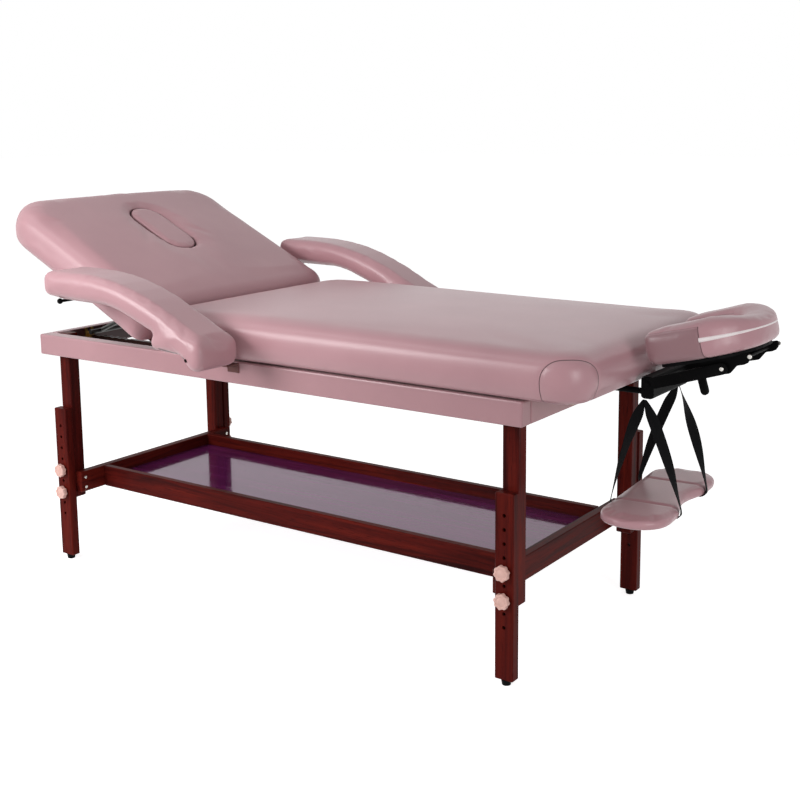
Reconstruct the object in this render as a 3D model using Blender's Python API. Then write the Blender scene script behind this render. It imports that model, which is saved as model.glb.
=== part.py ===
"""Massage table with a lift back, swing arms, adjustable legs, a shelf, a face cradle and an arm sling.

Metres, +Z up. +X runs along the table to the face cradle, and the table is the same on both sides of Y = 0.
The back stands raised, as it is used for reading. X is measured from the back end of the apron frame, and
the root empty at the end moves the whole table so that its origin is the bottom centre of its bounding box.
"""
import math

import bmesh
import bpy
from mathutils import Matrix, Vector

FIT = 0.0003            # gap between two faces that touch
RUN = 0.0004            # radial gap of a pin in its hole

# apron frame
APRON_LENGTH = 1.552
APRON_WIDTH = 0.696
APRON_HEIGHT = 0.057
APRON_TOP = 0.655
SIDE_RAIL = 0.040
END_RAIL = 0.026
RAIL_ROUND = 0.004
BEAM_WIDTH = 0.040
BEAM_DEPTH = 0.045
PROP_BEAM_X = 0.288
PROP_BEAM_DROP = 0.029

# padded top
BOARD = 0.012
TOP_WIDTH = 0.752
PAD = 0.112
PAD_EDGE = 0.044
CROWN = 0.010
DRAW_IN = 0.004
SEAM_X = 0.462
SEAM_GAP = 0.007
MAIN_OVERHANG = 0.153
MAIN_CORNER = 0.075
BOARD_HALF_WIDTH = 0.318
BOARD_INSET = 0.050

# lift back
BACK_ANGLE = 26.6
BACK_LENGTH = 0.612
BACK_CORNER = 0.110
HINGE_DROP = 0.020
HINGE_WIDTH = 0.500
HINGE_LEAF = 0.0025
KNUCKLE_RADIUS = 0.0031
HINGE_PIN_RADIUS = 0.0014
PLUG_LENGTH = 0.236
PLUG_WIDTH = 0.112
PLUG_CENTRE = 0.364
PLUG_GAP = 0.0006

# prop that holds the back up, and the racks that its foot stands in
PROP_REACH = 0.180
PROP_DROP = 0.014
PROP_LENGTH = 0.226
PROP_TUBE = 0.007
PROP_HALF_WIDTH = 0.165
PROP_FOOT_HALF = 0.205
PROP_TOP_HALF = 0.183
PROP_EAR_SET = 0.025
FOOT_DROP = 0.012
RACK_Y = 0.193
RACK_WIDTH = 0.014
RACK_END_PLATE = 0.003
RACK_HEIGHT = 0.022
FOOT_LIFT = 0.0025
NOTCH_DEPTH = 0.0022
NOTCH_RADIUS = 0.026
NOTCH_PITCH = 0.028
NOTCH_COUNT = 6

# arms
ARM_GAP = 0.016
ARM_THICKNESS = 0.138
ARM_EDGE = 0.018
ARM_LENGTH = 0.537
ARM_HEIGHT = 0.066
ARM_PIN_COVER = 0.009
ARM_PIN_SET = 0.0245
ARM_PIVOT_X = 0.735
ARM_PIVOT_RISE = 0.067
ARM_STUD = 0.008
ARM_STUD_LENGTH = 0.034
ARM_PLATE = 0.003
ARM_PLATE_LENGTH = 0.036
ARM_FLANGE_RISE = 0.030
PIN_RADIUS = 0.004
PIN_RISE = 0.135
PIN_X = 0.283
PIN_LENGTH = 0.055
PIN_SET = 0.055
HANDLE_LENGTH = 0.055
BALL_RADIUS = 0.0075

# legs
LEG_INSET = 0.027
EXT_WIDTH = 0.047
EXT_DEPTH = 0.026
EXT_TOP = 0.4434
POST_WIDTH = 0.040
POST_DEPTH = 0.036
POST_BOTTOM = 0.180
HOLE_PITCH = 0.0321
HOLE_COUNT = 9
HOLE_LOWEST = 0.1365
HOLE_RADIUS = 0.0046
KNOB_HOLES = (2, 4)
KNOB_RADIUS = 0.0165
KNOB_LOBE = 0.0022
KNOB_LOBES = 8
KNOB_THICKNESS = 0.014
KNOB_COLLAR = 0.003
GLIDE_HEIGHT = 0.013
GLIDE_RADIUS = 0.0125

# shelf
SHELF_RAIL = 0.025
SHELF_TOP = 0.2574
SHELF_HEIGHT = 0.059
LONG_RAIL = 0.020
LONG_RAIL_INSET = 0.1243
PANEL = 0.009
PANEL_RISE = 0.018

# face cradle
DOWEL_RADIUS = 0.007
DOWEL_SPREAD = 0.070
DOWEL_DROP = 0.0105
DOWEL_INSIDE = 0.062
CRADLE_REACH = 0.155
BASE_LENGTH = 0.030
BASE_HALF_WIDTH = 0.095
BASE_DROP = 0.0213
BASE_HEIGHT = 0.050
BASE_ROUND = 0.008
PIVOT_RADIUS = 0.006
PIVOT_HEAD = 0.004
LIFT_PIVOT_SET = 0.0165
LIFT_PIVOT_RISE = 0.0333
LIFT_REACH = 0.1665
LIFT_RISE = 0.053
BAR_THICKNESS = 0.005
BAR_HALF_HEIGHT = 0.0125
TILT = 13.5
PLATFORM = 0.006
PLATFORM_RISE = 0.0238
PLATFORM_TRIM = 0.020
CRADLE_LENGTH = 0.230
CRADLE_HALF_WIDTH = 0.160
CRADLE_PAD = 0.075
CRADLE_EDGE = 0.020
CRADLE_SHIFT = -0.0279
FACE_HALF_WIDTH = 0.055
TILT_BAR_REAR = 0.048
TILT_BAR_FRONT = 0.062
TILT_BAR_HEIGHT = 0.022
TILT_TIE_SET = 0.022
TILT_TIE = 0.004
CAM_REACH = 0.110
CAM_DROP = 0.008
CAM_RADIUS = 0.0045
LEVER_LENGTH = 0.034
LEVER_WIDTH = 0.018
LEVER_THICKNESS = 0.010
LEVER_Y = -0.057

# arm sling
STRAP_Y = 0.093
STRAP_WIDTH = 0.025
STRAP_THICKNESS = 0.0025
STRAP_TIP = 0.004
STRAP_FORK = 0.045
STRAP_ROOF = 0.0065
STRAP_SET = 0.008
SLING_DROP = 0.2487
SLING_LENGTH = 0.446
SLING_HALF_WIDTH = 0.080
SLING_WAIST = 0.052
SLING_PAD = 0.024
SLING_EDGE = 0.009

# colours, roughness and metallic value of each finish
FINISHES = {
    "vinyl": ((0.46, 0.29, 0.31), 0.38, 0.0),
    "mahogany": ((0.12, 0.018, 0.014), 0.25, 0.0),
    "board": ((0.42, 0.29, 0.17), 0.60, 0.0),
    "steel": ((0.45, 0.44, 0.42), 0.32, 1.0),
    "brass": ((0.62, 0.42, 0.16), 0.35, 1.0),
    "black_metal": ((0.012, 0.012, 0.013), 0.42, 0.6),
    "black_plastic": ((0.015, 0.015, 0.016), 0.45, 0.0),
    "webbing": ((0.010, 0.010, 0.011), 0.80, 0.0),
    "knob": ((0.72, 0.45, 0.40), 0.40, 0.0),
    "aluminium": ((0.62, 0.63, 0.64), 0.30, 1.0),
}

# side view of an arm, by corner: share of its length, the pin or the pivot that its height counts from,
# and then its rise and its corner radius in arm heights
ARM_PROFILE = (
    (0.0, "pin", 0.05, 0.30),
    (0.428, "pin", 0.0, 3.75),
    (0.703, "pivot", 0.356, 0.09),
    (0.670, "pivot", -0.243, 0.28),
    (0.873, "pivot", -0.387, 0.40),
    (0.935, "pivot", -0.925, 0.38),
    (1.0, "pivot", -0.878, 0.36),
    (1.0, "pivot", 0.072, 0.42),
    (0.480, "pin", 1.0, 11.0),
    (0.0, "pin", 1.0, 0.30),
)

SIDES = (("near", -1), ("far", 1))
HINGE_Z = APRON_TOP + PAD - HINGE_DROP
PAD_BASE = APRON_TOP + FIT
HALF_WIDTH = APRON_WIDTH / 2
PROP_BEAM_TOP = APRON_TOP - PROP_BEAM_DROP
FOOT_HEIGHT = APRON_TOP - FOOT_DROP
ARM_PIVOT_Z = APRON_TOP + ARM_PIVOT_RISE
PIN_Z = APRON_TOP + PIN_RISE
DOWEL_Z = APRON_TOP - DOWEL_DROP
BASE_BOTTOM = APRON_TOP - BASE_DROP
BASE_TOP = BASE_BOTTOM + BASE_HEIGHT
LIFT_PIVOT_Z = BASE_BOTTOM + LIFT_PIVOT_RISE
MAIN_END_X = APRON_LENGTH + MAIN_OVERHANG
BASE_X = APRON_LENGTH + CRADLE_REACH
LIFT_PIVOT_X = BASE_X + LIFT_PIVOT_SET
STRAP_APEX_X = BASE_X + STRAP_SET


def clear_scene():
    """Removes whatever the scene holds."""
    for thing in list(bpy.data.objects):
        bpy.data.objects.remove(thing)


def make_collection(name):
    """Adds a collection to the scene."""
    collection = bpy.data.collections.new(name)
    bpy.context.scene.collection.children.link(collection)
    return collection


def make_finish(name):
    """Makes the Principled material of one finish."""
    colour, roughness, metallic = FINISHES[name]
    material = bpy.data.materials.new(name)
    material.use_nodes = True
    shader = material.node_tree.nodes["Principled BSDF"]
    shader.inputs["Base Color"].default_value = (*colour, 1.0)
    shader.inputs["Roughness"].default_value = roughness
    shader.inputs["Metallic"].default_value = metallic
    return material


def empty(name, parent=None, location=(0, 0, 0), turn=0.0):
    """An empty that carries pieces, turned about Y so that a positive angle lifts its -X side."""
    pivot = bpy.data.objects.new(name, None)
    pivot.location = location
    pivot.rotation_euler = (0, math.radians(turn), 0)
    pivot.parent = parent
    parts.objects.link(pivot)
    return pivot


def piece(name, mesh, finish, parent, smooth=30):
    """Makes a named sub-part from a mesh, with its own material."""
    mesh.name = name
    thing = bpy.data.objects.new(name, mesh)
    thing.parent = parent
    material = finishes[finish].copy()
    material.name = name + "_" + finish
    mesh.materials.clear()
    mesh.materials.append(material)
    mesh.shade_smooth()
    mesh.set_sharp_from_angle(angle=math.radians(smooth))
    parts.objects.link(thing)
    return thing


def cutter(mesh, parent):
    """Makes a wire helper that cuts or joins other pieces."""
    thing = bpy.data.objects.new("cutter", mesh)
    thing.parent = parent
    thing.hide_render = True
    thing.display_type = "WIRE"
    cutters.objects.link(thing)
    return thing


def combine(thing, mesh, operation="DIFFERENCE", parent="same"):
    """Cuts a mesh out of a piece, or joins it to the piece, with a Boolean modifier."""
    helper = cutter(mesh, thing.parent if parent == "same" else parent)
    modifier = thing.modifiers.new(operation.lower(), "BOOLEAN")
    modifier.operation = operation
    modifier.object = helper
    return thing


def as_mesh(bm):
    """Finishes a bmesh as mesh data."""
    bmesh.ops.recalc_face_normals(bm, faces=bm.faces)
    mesh = bpy.data.meshes.new("mesh")
    bm.to_mesh(mesh)
    bm.free()
    return mesh


def box_mesh(low, high, rounding=0.0, segments=2):
    """A box between two corners, with its edges rounded."""
    bm = bmesh.new()
    bmesh.ops.create_cube(bm, size=1.0)
    low, high = Vector(low), Vector(high)
    size = high - low
    bmesh.ops.scale(bm, verts=bm.verts, vec=size)
    bmesh.ops.translate(bm, verts=bm.verts, vec=(low + high) / 2)
    if rounding:
        bmesh.ops.bevel(bm, geom=bm.edges[:], offset=rounding, segments=segments, profile=0.5, affect="EDGES")
    return as_mesh(bm)


def turned_to(axis):
    """The rotation that takes +Z to an axis named X, Y or Z."""
    turns = {"X": Matrix.Rotation(math.pi / 2, 4, "Y"), "Y": Matrix.Rotation(-math.pi / 2, 4, "X")}
    return turns.get(axis, Matrix.Identity(4))


def rod_mesh(start, length, radius, axis, sides=16, end_radius=None):
    """A round rod or cone from a point along an axis."""
    bm = bmesh.new()
    last = radius if end_radius is None else end_radius
    bmesh.ops.create_cone(bm, cap_ends=True, segments=sides, radius1=radius, radius2=last, depth=length)
    bmesh.ops.translate(bm, verts=bm.verts, vec=(0, 0, length / 2))
    bmesh.ops.transform(bm, verts=bm.verts, matrix=Matrix.Translation(start) @ turned_to(axis))
    return as_mesh(bm)


def ball_mesh(centre, radius):
    """A small ball."""
    bm = bmesh.new()
    bmesh.ops.create_uvsphere(bm, u_segments=14, v_segments=8, radius=radius)
    bmesh.ops.translate(bm, verts=bm.verts, vec=centre)
    return as_mesh(bm)


def fillet(corners, steps=5):
    """Rounds the corners of a polygon. Each corner is (x, y, radius), and a radius of 0 stays sharp."""
    points = []
    count = len(corners)
    for index, (x, y, radius) in enumerate(corners):
        here = Vector((x, y))
        if not radius:
            points.append(here)
            continue
        back = (Vector(corners[index - 1][:2]) - here).normalized()
        ahead = (Vector(corners[(index + 1) % count][:2]) - here).normalized()
        half = math.acos(max(-1.0, min(1.0, back.dot(ahead)))) / 2
        centre = here + (back + ahead).normalized() * (radius / math.sin(half))
        first = here + back * (radius / math.tan(half)) - centre
        sweep = first.angle_signed(here + ahead * (radius / math.tan(half)) - centre)
        for step in range(steps + 1):
            points.append(centre + Matrix.Rotation(-sweep * step / steps, 2) @ first)
    return points


def outline_mesh(points, thickness, plane="XY", lift=0.0):
    """A flat outline with a thickness. XY lies flat, XZ stands across Y, and YZ stands across X."""
    curve = bpy.data.curves.new("outline", "CURVE")
    curve.dimensions = "2D"
    curve.fill_mode = "BOTH"
    curve.extrude = thickness / 2
    spline = curve.splines.new("POLY")
    spline.points.add(len(points) - 1)
    for point, (x, y) in zip(spline.points, points):
        point.co = (x, y, 0, 1)
    spline.use_cyclic_u = True
    shape = bpy.data.objects.new("outline", curve)
    cutters.objects.link(shape)
    graph = bpy.context.evaluated_depsgraph_get()
    graph.update()
    mesh = bpy.data.meshes.new_from_object(shape.evaluated_get(graph))
    bpy.data.objects.remove(shape)
    bm = bmesh.new()
    bm.from_mesh(mesh)
    bmesh.ops.remove_doubles(bm, verts=bm.verts, dist=1e-6)
    bmesh.ops.dissolve_limit(bm, angle_limit=0.001, verts=bm.verts, edges=bm.edges)
    bmesh.ops.translate(bm, verts=bm.verts, vec=(0, 0, lift))
    stand = {
        "XY": Matrix.Identity(4),
        "XZ": Matrix(((1, 0, 0, 0), (0, 0, 1, 0), (0, 1, 0, 0), (0, 0, 0, 1))),
        "YZ": Matrix(((0, 0, 1, 0), (1, 0, 0, 0), (0, 1, 0, 0), (0, 0, 0, 1))),
    }[plane]
    bmesh.ops.transform(bm, verts=bm.verts, matrix=stand)
    return as_mesh(bm)


def rounded_rim(mesh, radius, axis, segments=4):
    """Rounds the rims of a flat outline whose faces look along an axis (0, 1 or 2)."""
    bm = bmesh.new()
    bm.from_mesh(mesh)
    rims = []
    for edge in bm.edges:
        flat = [abs(face.normal[axis]) > 0.9 for face in edge.link_faces]
        if len(flat) == 2 and flat[0] != flat[1]:
            rims.append(edge)
    bmesh.ops.bevel(bm, geom=rims, offset=radius, segments=segments, profile=0.5, affect="EDGES")
    return as_mesh(bm)


def crowned(mesh, low, high, crown, draw_in):
    """Swells the top of a pad, and draws in its long sides between the corners."""
    bm = bmesh.new()
    bm.from_mesh(mesh)
    for axis in (0, 1):
        normal = Vector((1 - axis, axis, 0))
        for share in (0.12, 0.3, 0.5, 0.7, 0.88):
            point = normal * (low[axis] + (high[axis] - low[axis]) * share)
            geometry = bm.verts[:] + bm.edges[:] + bm.faces[:]
            bmesh.ops.bisect_plane(bm, geom=geometry, plane_co=point, plane_no=normal, dist=1e-5)
    middle = (low[2] + high[2]) / 2
    for vert in bm.verts:
        along = 2 * (vert.co.x - low[0]) / (high[0] - low[0]) - 1
        across = 2 * (vert.co.y - low[1]) / (high[1] - low[1]) - 1
        swell = max(0.0, 1 - along ** 2) * max(0.0, 1 - across ** 2)
        if vert.co.z > middle:
            vert.co.z += crown * swell * (vert.co.z - middle) / (high[2] - middle)
        vert.co.y -= math.copysign(draw_in, across) * max(0.0, 1 - along ** 2) * across ** 2
    return as_mesh(bm)


def pad_mesh(corners, low_z, thickness, edge, crown=0.0, draw_in=0.0, steps=5):
    """An upholstered pad: a rounded outline with bullnose edges, a crown and drawn-in sides."""
    points = fillet(corners, steps)
    slab = outline_mesh(points, thickness, "XY", low_z + thickness / 2)
    mesh = rounded_rim(slab, edge, 2)
    xs = [point.x for point in points]
    ys = [point.y for point in points]
    low = (min(xs), min(ys), low_z)
    high = (max(xs), max(ys), low_z + thickness)
    return crowned(mesh, low, high, crown, draw_in) if crown else mesh


def merged(*meshes):
    """Joins meshes that overlap into one closed body."""
    base = bpy.data.objects.new("joined", meshes[0])
    cutters.objects.link(base)
    base.hide_render = True
    helpers = [combine(base, mesh, "UNION", None) and base.modifiers[-1].object for mesh in meshes[1:]]
    graph = bpy.context.evaluated_depsgraph_get()
    graph.update()
    mesh = bpy.data.meshes.new_from_object(base.evaluated_get(graph))
    for helper in helpers:
        bpy.data.objects.remove(helper)
    bpy.data.objects.remove(base)
    return mesh


def capsule(start, end, radius, steps=6):
    """The outline of a bar with round ends, between two points of a plane."""
    start, end = Vector(start), Vector(end)
    ahead = (end - start).normalized()
    points = []
    for centre, turn in ((end, -math.pi / 2), (start, math.pi / 2)):
        for step in range(steps + 1):
            angle = turn + math.pi * step / steps
            points.append(centre + radius * (Matrix.Rotation(angle, 2) @ ahead))
    return points


def build_apron(root):
    """The covered rails of the table frame and the two beams between them."""
    bottom = APRON_TOP - APRON_HEIGHT
    inner = HALF_WIDTH - SIDE_RAIL
    for side, sign in SIDES:
        ys = sorted((sign * inner, sign * HALF_WIDTH))
        mesh = box_mesh((0, ys[0], bottom), (APRON_LENGTH, ys[1], APRON_TOP), RAIL_ROUND)
        piece("apron_rail_" + side, mesh, "vinyl", root)
    across = inner - FIT
    for name, x in (("back", 0.0), ("head", APRON_LENGTH - END_RAIL)):
        mesh = box_mesh((x, -across, bottom), (x + END_RAIL, across, APRON_TOP), RAIL_ROUND)
        rail = piece("apron_rail_" + name, mesh, "vinyl", root)
        if name == "head":
            for _, sign in SIDES:
                start = (x - 2 * RUN, sign * DOWEL_SPREAD, DOWEL_Z)
                hole = rod_mesh(start, END_RAIL + 4 * RUN, DOWEL_RADIUS + RUN, "X")
                combine(rail, hole)
    hinge_beam = SEAM_X + SEAM_GAP / 2 + BOARD_INSET
    low = (hinge_beam, -across, APRON_TOP - BEAM_DEPTH)
    mesh = box_mesh(low, (hinge_beam + BEAM_WIDTH, across, APRON_TOP), RAIL_ROUND)
    piece("hinge_beam", mesh, "board", root)
    low = (PROP_BEAM_X, -across, bottom)
    mesh = box_mesh(low, (PROP_BEAM_X + BEAM_WIDTH, across, PROP_BEAM_TOP), RAIL_ROUND / 2)
    piece("prop_beam", mesh, "board", root)


def build_main_top(root):
    """The fixed deck board and the long cushion on it."""
    start = SEAM_X + SEAM_GAP / 2
    low = (start, -BOARD_HALF_WIDTH, PAD_BASE)
    high = (MAIN_END_X - BOARD_INSET, BOARD_HALF_WIDTH, PAD_BASE + BOARD)
    piece("deck_board", box_mesh(low, high), "board", root)
    half = TOP_WIDTH / 2
    seam_corner = PAD_EDGE + 0.004
    corners = (
        (start, -half, seam_corner),
        (MAIN_END_X, -half, MAIN_CORNER),
        (MAIN_END_X, half, MAIN_CORNER),
        (start, half, seam_corner),
    )
    mesh = pad_mesh(corners, PAD_BASE, PAD, PAD_EDGE, CROWN, DRAW_IN)
    cushion = piece("main_cushion", mesh, "vinyl", root, smooth=50)
    pocket = box_mesh(
        (low[0] - 2 * FIT, low[1] - FIT, low[2] - 2 * FIT), (high[0] + FIT, high[1] + FIT, high[2] + FIT)
    )
    combine(cushion, pocket)


def build_back(back):
    """The lift back in its flat place, seen from its hinge axis: board, cushion and breath-hole plug."""
    base = PAD_BASE - HINGE_Z
    end = -SEAM_GAP / 2
    half = TOP_WIDTH / 2
    low = (-BACK_LENGTH + BOARD_INSET, -BOARD_HALF_WIDTH, base)
    high = (end, BOARD_HALF_WIDTH, base + BOARD)
    trim = BACK_CORNER / 2
    board_corners = (
        (low[0], low[1], trim), (high[0], low[1], 0), (high[0], high[1], 0), (low[0], high[1], trim)
    )
    board_points = fillet(board_corners, 3)
    board = piece("back_board", outline_mesh(board_points, BOARD, "XY", base + BOARD / 2), "board", back)
    seam_corner = PAD_EDGE + 0.004
    corners = (
        (-BACK_LENGTH, -half, BACK_CORNER),
        (end, -half, seam_corner),
        (end, half, seam_corner),
        (-BACK_LENGTH, half, BACK_CORNER),
    )
    mesh = pad_mesh(corners, base, PAD, PAD_EDGE, CROWN, DRAW_IN, steps=6)
    cushion = piece("back_cushion", mesh, "vinyl", back, smooth=50)
    around = FIT
    pocket_corners = (
        (low[0] - around, low[1] - around, trim), (high[0] + 2 * FIT, low[1] - around, 0),
        (high[0] + 2 * FIT, high[1] + around, 0), (low[0] - around, high[1] + around, trim),
    )
    pocket_depth = BOARD + 3 * FIT
    pocket = outline_mesh(fillet(pocket_corners, 3), pocket_depth, "XY", base + BOARD + FIT - pocket_depth / 2)
    combine(cushion, pocket)
    reach = PLUG_LENGTH / 2 - PLUG_WIDTH / 2
    hole = capsule((-PLUG_CENTRE - reach, 0), (-PLUG_CENTRE + reach, 0), PLUG_WIDTH / 2 + PLUG_GAP, 8)
    for thing in (board, cushion):
        combine(thing, outline_mesh(hole, 3 * PAD, "XY"))
    plug_points = capsule((-PLUG_CENTRE - reach, 0), (-PLUG_CENTRE + reach, 0), PLUG_WIDTH / 2, 8)
    height = PAD + CROWN
    plug = rounded_rim(outline_mesh(plug_points, height, "XY", base + height / 2), BOARD / 2, 2, 3)
    piece("breath_plug", plug, "vinyl", back, smooth=50)


def build_hinge(root, back):
    """The long hinge between the boards: two leaves with knuckles, and the pin."""
    half = HINGE_WIDTH / 2
    middle = half * 0.4
    foot = PAD_BASE
    near = FIT * 1.5
    bore = (0, -HINGE_WIDTH, 0)
    clear = KNUCKLE_RADIUS + RUN
    tops = {"fixed": ((-half, -middle - FIT), (middle + FIT, half)), "moving": ((-middle, middle),)}
    sides = (("fixed", 1, root, Vector((SEAM_X, 0, HINGE_Z))), ("moving", -1, back, Vector()))
    for name, sign, parent, origin in sides:
        xs = sorted((sign * near, sign * (near + HINGE_LEAF)))
        plate = box_mesh((xs[0], -half, foot - HINGE_Z), (xs[1], half, -clear))
        pieces = [plate]
        for start, stop in tops[name]:
            pieces.append(box_mesh((xs[0], start, -2 * clear), (xs[1], stop, 0)))
            pieces.append(rod_mesh((0, start, 0), stop - start, KNUCKLE_RADIUS, "Y"))
        mesh = merged(*pieces)
        mesh.transform(Matrix.Translation(origin))
        leaf = piece("hinge_leaf_" + name, mesh, "steel", parent)
        start = Vector(bore) + origin
        combine(leaf, rod_mesh(start, 2 * HINGE_WIDTH, HINGE_PIN_RADIUS + RUN, "Y", 12))
    start = (SEAM_X, -half, HINGE_Z)
    piece("hinge_pin", rod_mesh(start, HINGE_WIDTH, HINGE_PIN_RADIUS, "Y", 12), "steel", root)


def build_prop(root, back, prop):
    """The prop under the back, the strip that it hangs from, and the notched racks for its foot."""
    base = PAD_BASE - HINGE_Z
    top_bar = rod_mesh((0, -PROP_TOP_HALF, 0), 2 * PROP_TOP_HALF, PROP_TUBE, "Y", 12)
    foot_bar = rod_mesh((-PROP_LENGTH, -PROP_FOOT_HALF, 0), 2 * PROP_FOOT_HALF, PROP_TUBE, "Y", 12)
    legs = [rod_mesh((-PROP_LENGTH, sign * PROP_HALF_WIDTH, 0), PROP_LENGTH, PROP_TUBE * 0.94, "X", 12)
            for _, sign in SIDES]
    piece("back_prop", merged(top_bar, foot_bar, *legs), "steel", prop)

    strip_half = PROP_HALF_WIDTH + 0.015
    ear_low = -PROP_TUBE - 0.003
    rise = PROP_DROP - FIT
    strip = box_mesh((-0.013, -strip_half, rise - 0.002), (0.013, strip_half, rise))
    ears = [box_mesh((-0.011, sign * (PROP_HALF_WIDTH - PROP_EAR_SET) - 0.0075, ear_low),
                     (0.011, sign * (PROP_HALF_WIDTH - PROP_EAR_SET) + 0.0075, rise - 0.001)) for _, sign in SIDES]
    mesh = merged(strip, *ears)
    mesh.transform(Matrix.Translation((-PROP_REACH, 0, base - PROP_DROP)))
    hanger = piece("prop_hanger", mesh, "steel", back)
    start = (-PROP_REACH, -PROP_HALF_WIDTH * 2, base - PROP_DROP)
    combine(hanger, rod_mesh(start, PROP_HALF_WIDTH * 4, PROP_TUBE + RUN, "Y", 16))

    rack_top = FOOT_HEIGHT - PROP_TUBE - FOOT_LIFT + NOTCH_DEPTH
    bottom = rack_top - RACK_HEIGHT
    rest_x = SEAM_X + (back.matrix_basis @ prop.matrix_basis @ Vector((-PROP_LENGTH, 0, 0))).x - back.location.x
    for side, sign in SIDES:
        ys = (sign * RACK_Y - RACK_WIDTH / 2, sign * RACK_Y + RACK_WIDTH / 2)
        bar = box_mesh((END_RAIL + RACK_END_PLATE / 2, ys[0], bottom), (PROP_BEAM_X - FIT, ys[1], rack_top))
        plate = box_mesh((END_RAIL + FIT, ys[0] - 0.008, bottom - 0.006),
                         (END_RAIL + FIT + RACK_END_PLATE, ys[1] + 0.008, APRON_TOP - FIT))
        rack = piece("prop_rack_" + side, merged(bar, plate), "brass", root)
        for notch in range(NOTCH_COUNT):
            start = (rest_x + notch * NOTCH_PITCH, ys[0] - FIT, rack_top + NOTCH_RADIUS - NOTCH_DEPTH)
            combine(rack, rod_mesh(start, RACK_WIDTH + 2 * FIT, NOTCH_RADIUS, "Y", 64))


def arm_outline():
    """The side view of an arm: level front, long bend and the round nose beside the cushion."""
    start = PIN_X - ARM_PIN_SET
    bases = {"pin": PIN_Z + ARM_PIN_COVER, "pivot": ARM_PIVOT_Z}
    points = []
    for along, base, rise, radius in ARM_PROFILE:
        points.append((start + along * ARM_LENGTH, bases[base] + rise * ARM_HEIGHT, radius * ARM_HEIGHT))
    return points


def build_arm(side, sign, root, arm, pin):
    """One padded arm, the bracket that it swings on and its release pin with a handle."""
    inner = TOP_WIDTH / 2 + ARM_GAP
    outer = inner + ARM_THICKNESS
    centre = sign * (inner + outer) / 2
    points = fillet(arm_outline(), 6)
    slab = outline_mesh(points, ARM_THICKNESS, "XZ", centre)
    pad = piece("arm_pad_" + side, rounded_rim(slab, ARM_EDGE, 1, 3), "vinyl", arm, smooth=45)
    pad.data.transform(Matrix.Translation((-ARM_PIVOT_X, 0, -ARM_PIVOT_Z)))
    ys = sorted((sign * (inner - ARM_STUD), sign * (inner + ARM_STUD_LENGTH + RUN)))
    bore = rod_mesh((0, ys[0], 0), ys[1] - ys[0], ARM_STUD + RUN, "Y", 20)
    combine(pad, bore)
    combine(pad, rod_mesh(pin.location, PIN_LENGTH + ARM_PIN_COVER, PIN_RADIUS + RUN, "Z", 16))

    ear_out = inner - RUN
    ear_in = ear_out - ARM_PLATE
    flange_low = APRON_TOP - APRON_HEIGHT + ARM_FLANGE_RISE
    shelf_top = APRON_TOP - 0.003
    top = ARM_PIVOT_Z + 0.016
    wall = HALF_WIDTH + FIT
    corners = (
        (wall, flange_low, 0), (wall + ARM_PLATE, flange_low, 0),
        (wall + ARM_PLATE, shelf_top - ARM_PLATE, 0), (ear_out, shelf_top - ARM_PLATE, 0.002),
        (ear_out, top, 0), (ear_in, top, 0), (ear_in, shelf_top, 0), (wall, shelf_top, 0),
    )
    profile = [(sign * y, z) for y, z in (tuple(point) for point in fillet(corners, 3))]
    plate = outline_mesh(profile, ARM_PLATE_LENGTH, "YZ", ARM_PIVOT_X)
    ys = sorted((sign * (ear_in + ARM_PLATE / 2), sign * (inner + ARM_STUD_LENGTH)))
    stud = rod_mesh((ARM_PIVOT_X, ys[0], ARM_PIVOT_Z), ys[1] - ys[0], ARM_STUD, "Y", 20)
    piece("arm_bracket_" + side, merged(plate, stud), "black_metal", root)

    shaft = rod_mesh((0, 0, 0), PIN_LENGTH, PIN_RADIUS, "Z", 12)
    handle = rod_mesh((0, min(0, sign * HANDLE_LENGTH), 0), HANDLE_LENGTH, PIN_RADIUS, "Y", 12)
    ball = ball_mesh((0, sign * HANDLE_LENGTH, 0), BALL_RADIUS)
    piece("arm_release_" + side, merged(shaft, handle, ball), "black_metal", pin)


def knob_mesh(sign, depth):
    """A star knob with its collar and the bolt that goes through the leg's hole."""
    count = KNOB_LOBES * 4
    points = []
    for step in range(count):
        angle = 2 * math.pi * step / count
        radius = KNOB_RADIUS + KNOB_LOBE * math.cos(KNOB_LOBES * angle)
        points.append(Vector((radius * math.cos(angle), radius * math.sin(angle))))
    middle = sign * (KNOB_COLLAR + KNOB_THICKNESS / 2)
    head = rounded_rim(outline_mesh(points, KNOB_THICKNESS, "XZ", middle), 0.002, 1, 1)
    ys = sorted((-sign * depth, sign * (KNOB_COLLAR + KNOB_THICKNESS / 2)))
    bolt = rod_mesh((0, ys[0], 0), ys[1] - ys[0], HOLE_RADIUS - RUN, "Y", 12)
    ys = sorted((0, sign * (KNOB_COLLAR + KNOB_THICKNESS / 2)))
    collar = rod_mesh((0, ys[0], 0), ys[1] - ys[0], KNOB_RADIUS * 0.62, "Y", 16)
    return merged(head, collar, bolt)


def leg_places():
    """Each leg's name, the X of its middle and its side."""
    first = LEG_INSET + EXT_WIDTH / 2
    for end, x in (("back", first), ("head", APRON_LENGTH - first)):
        for side, sign in SIDES:
            yield end + "_" + side, x, sign


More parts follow.
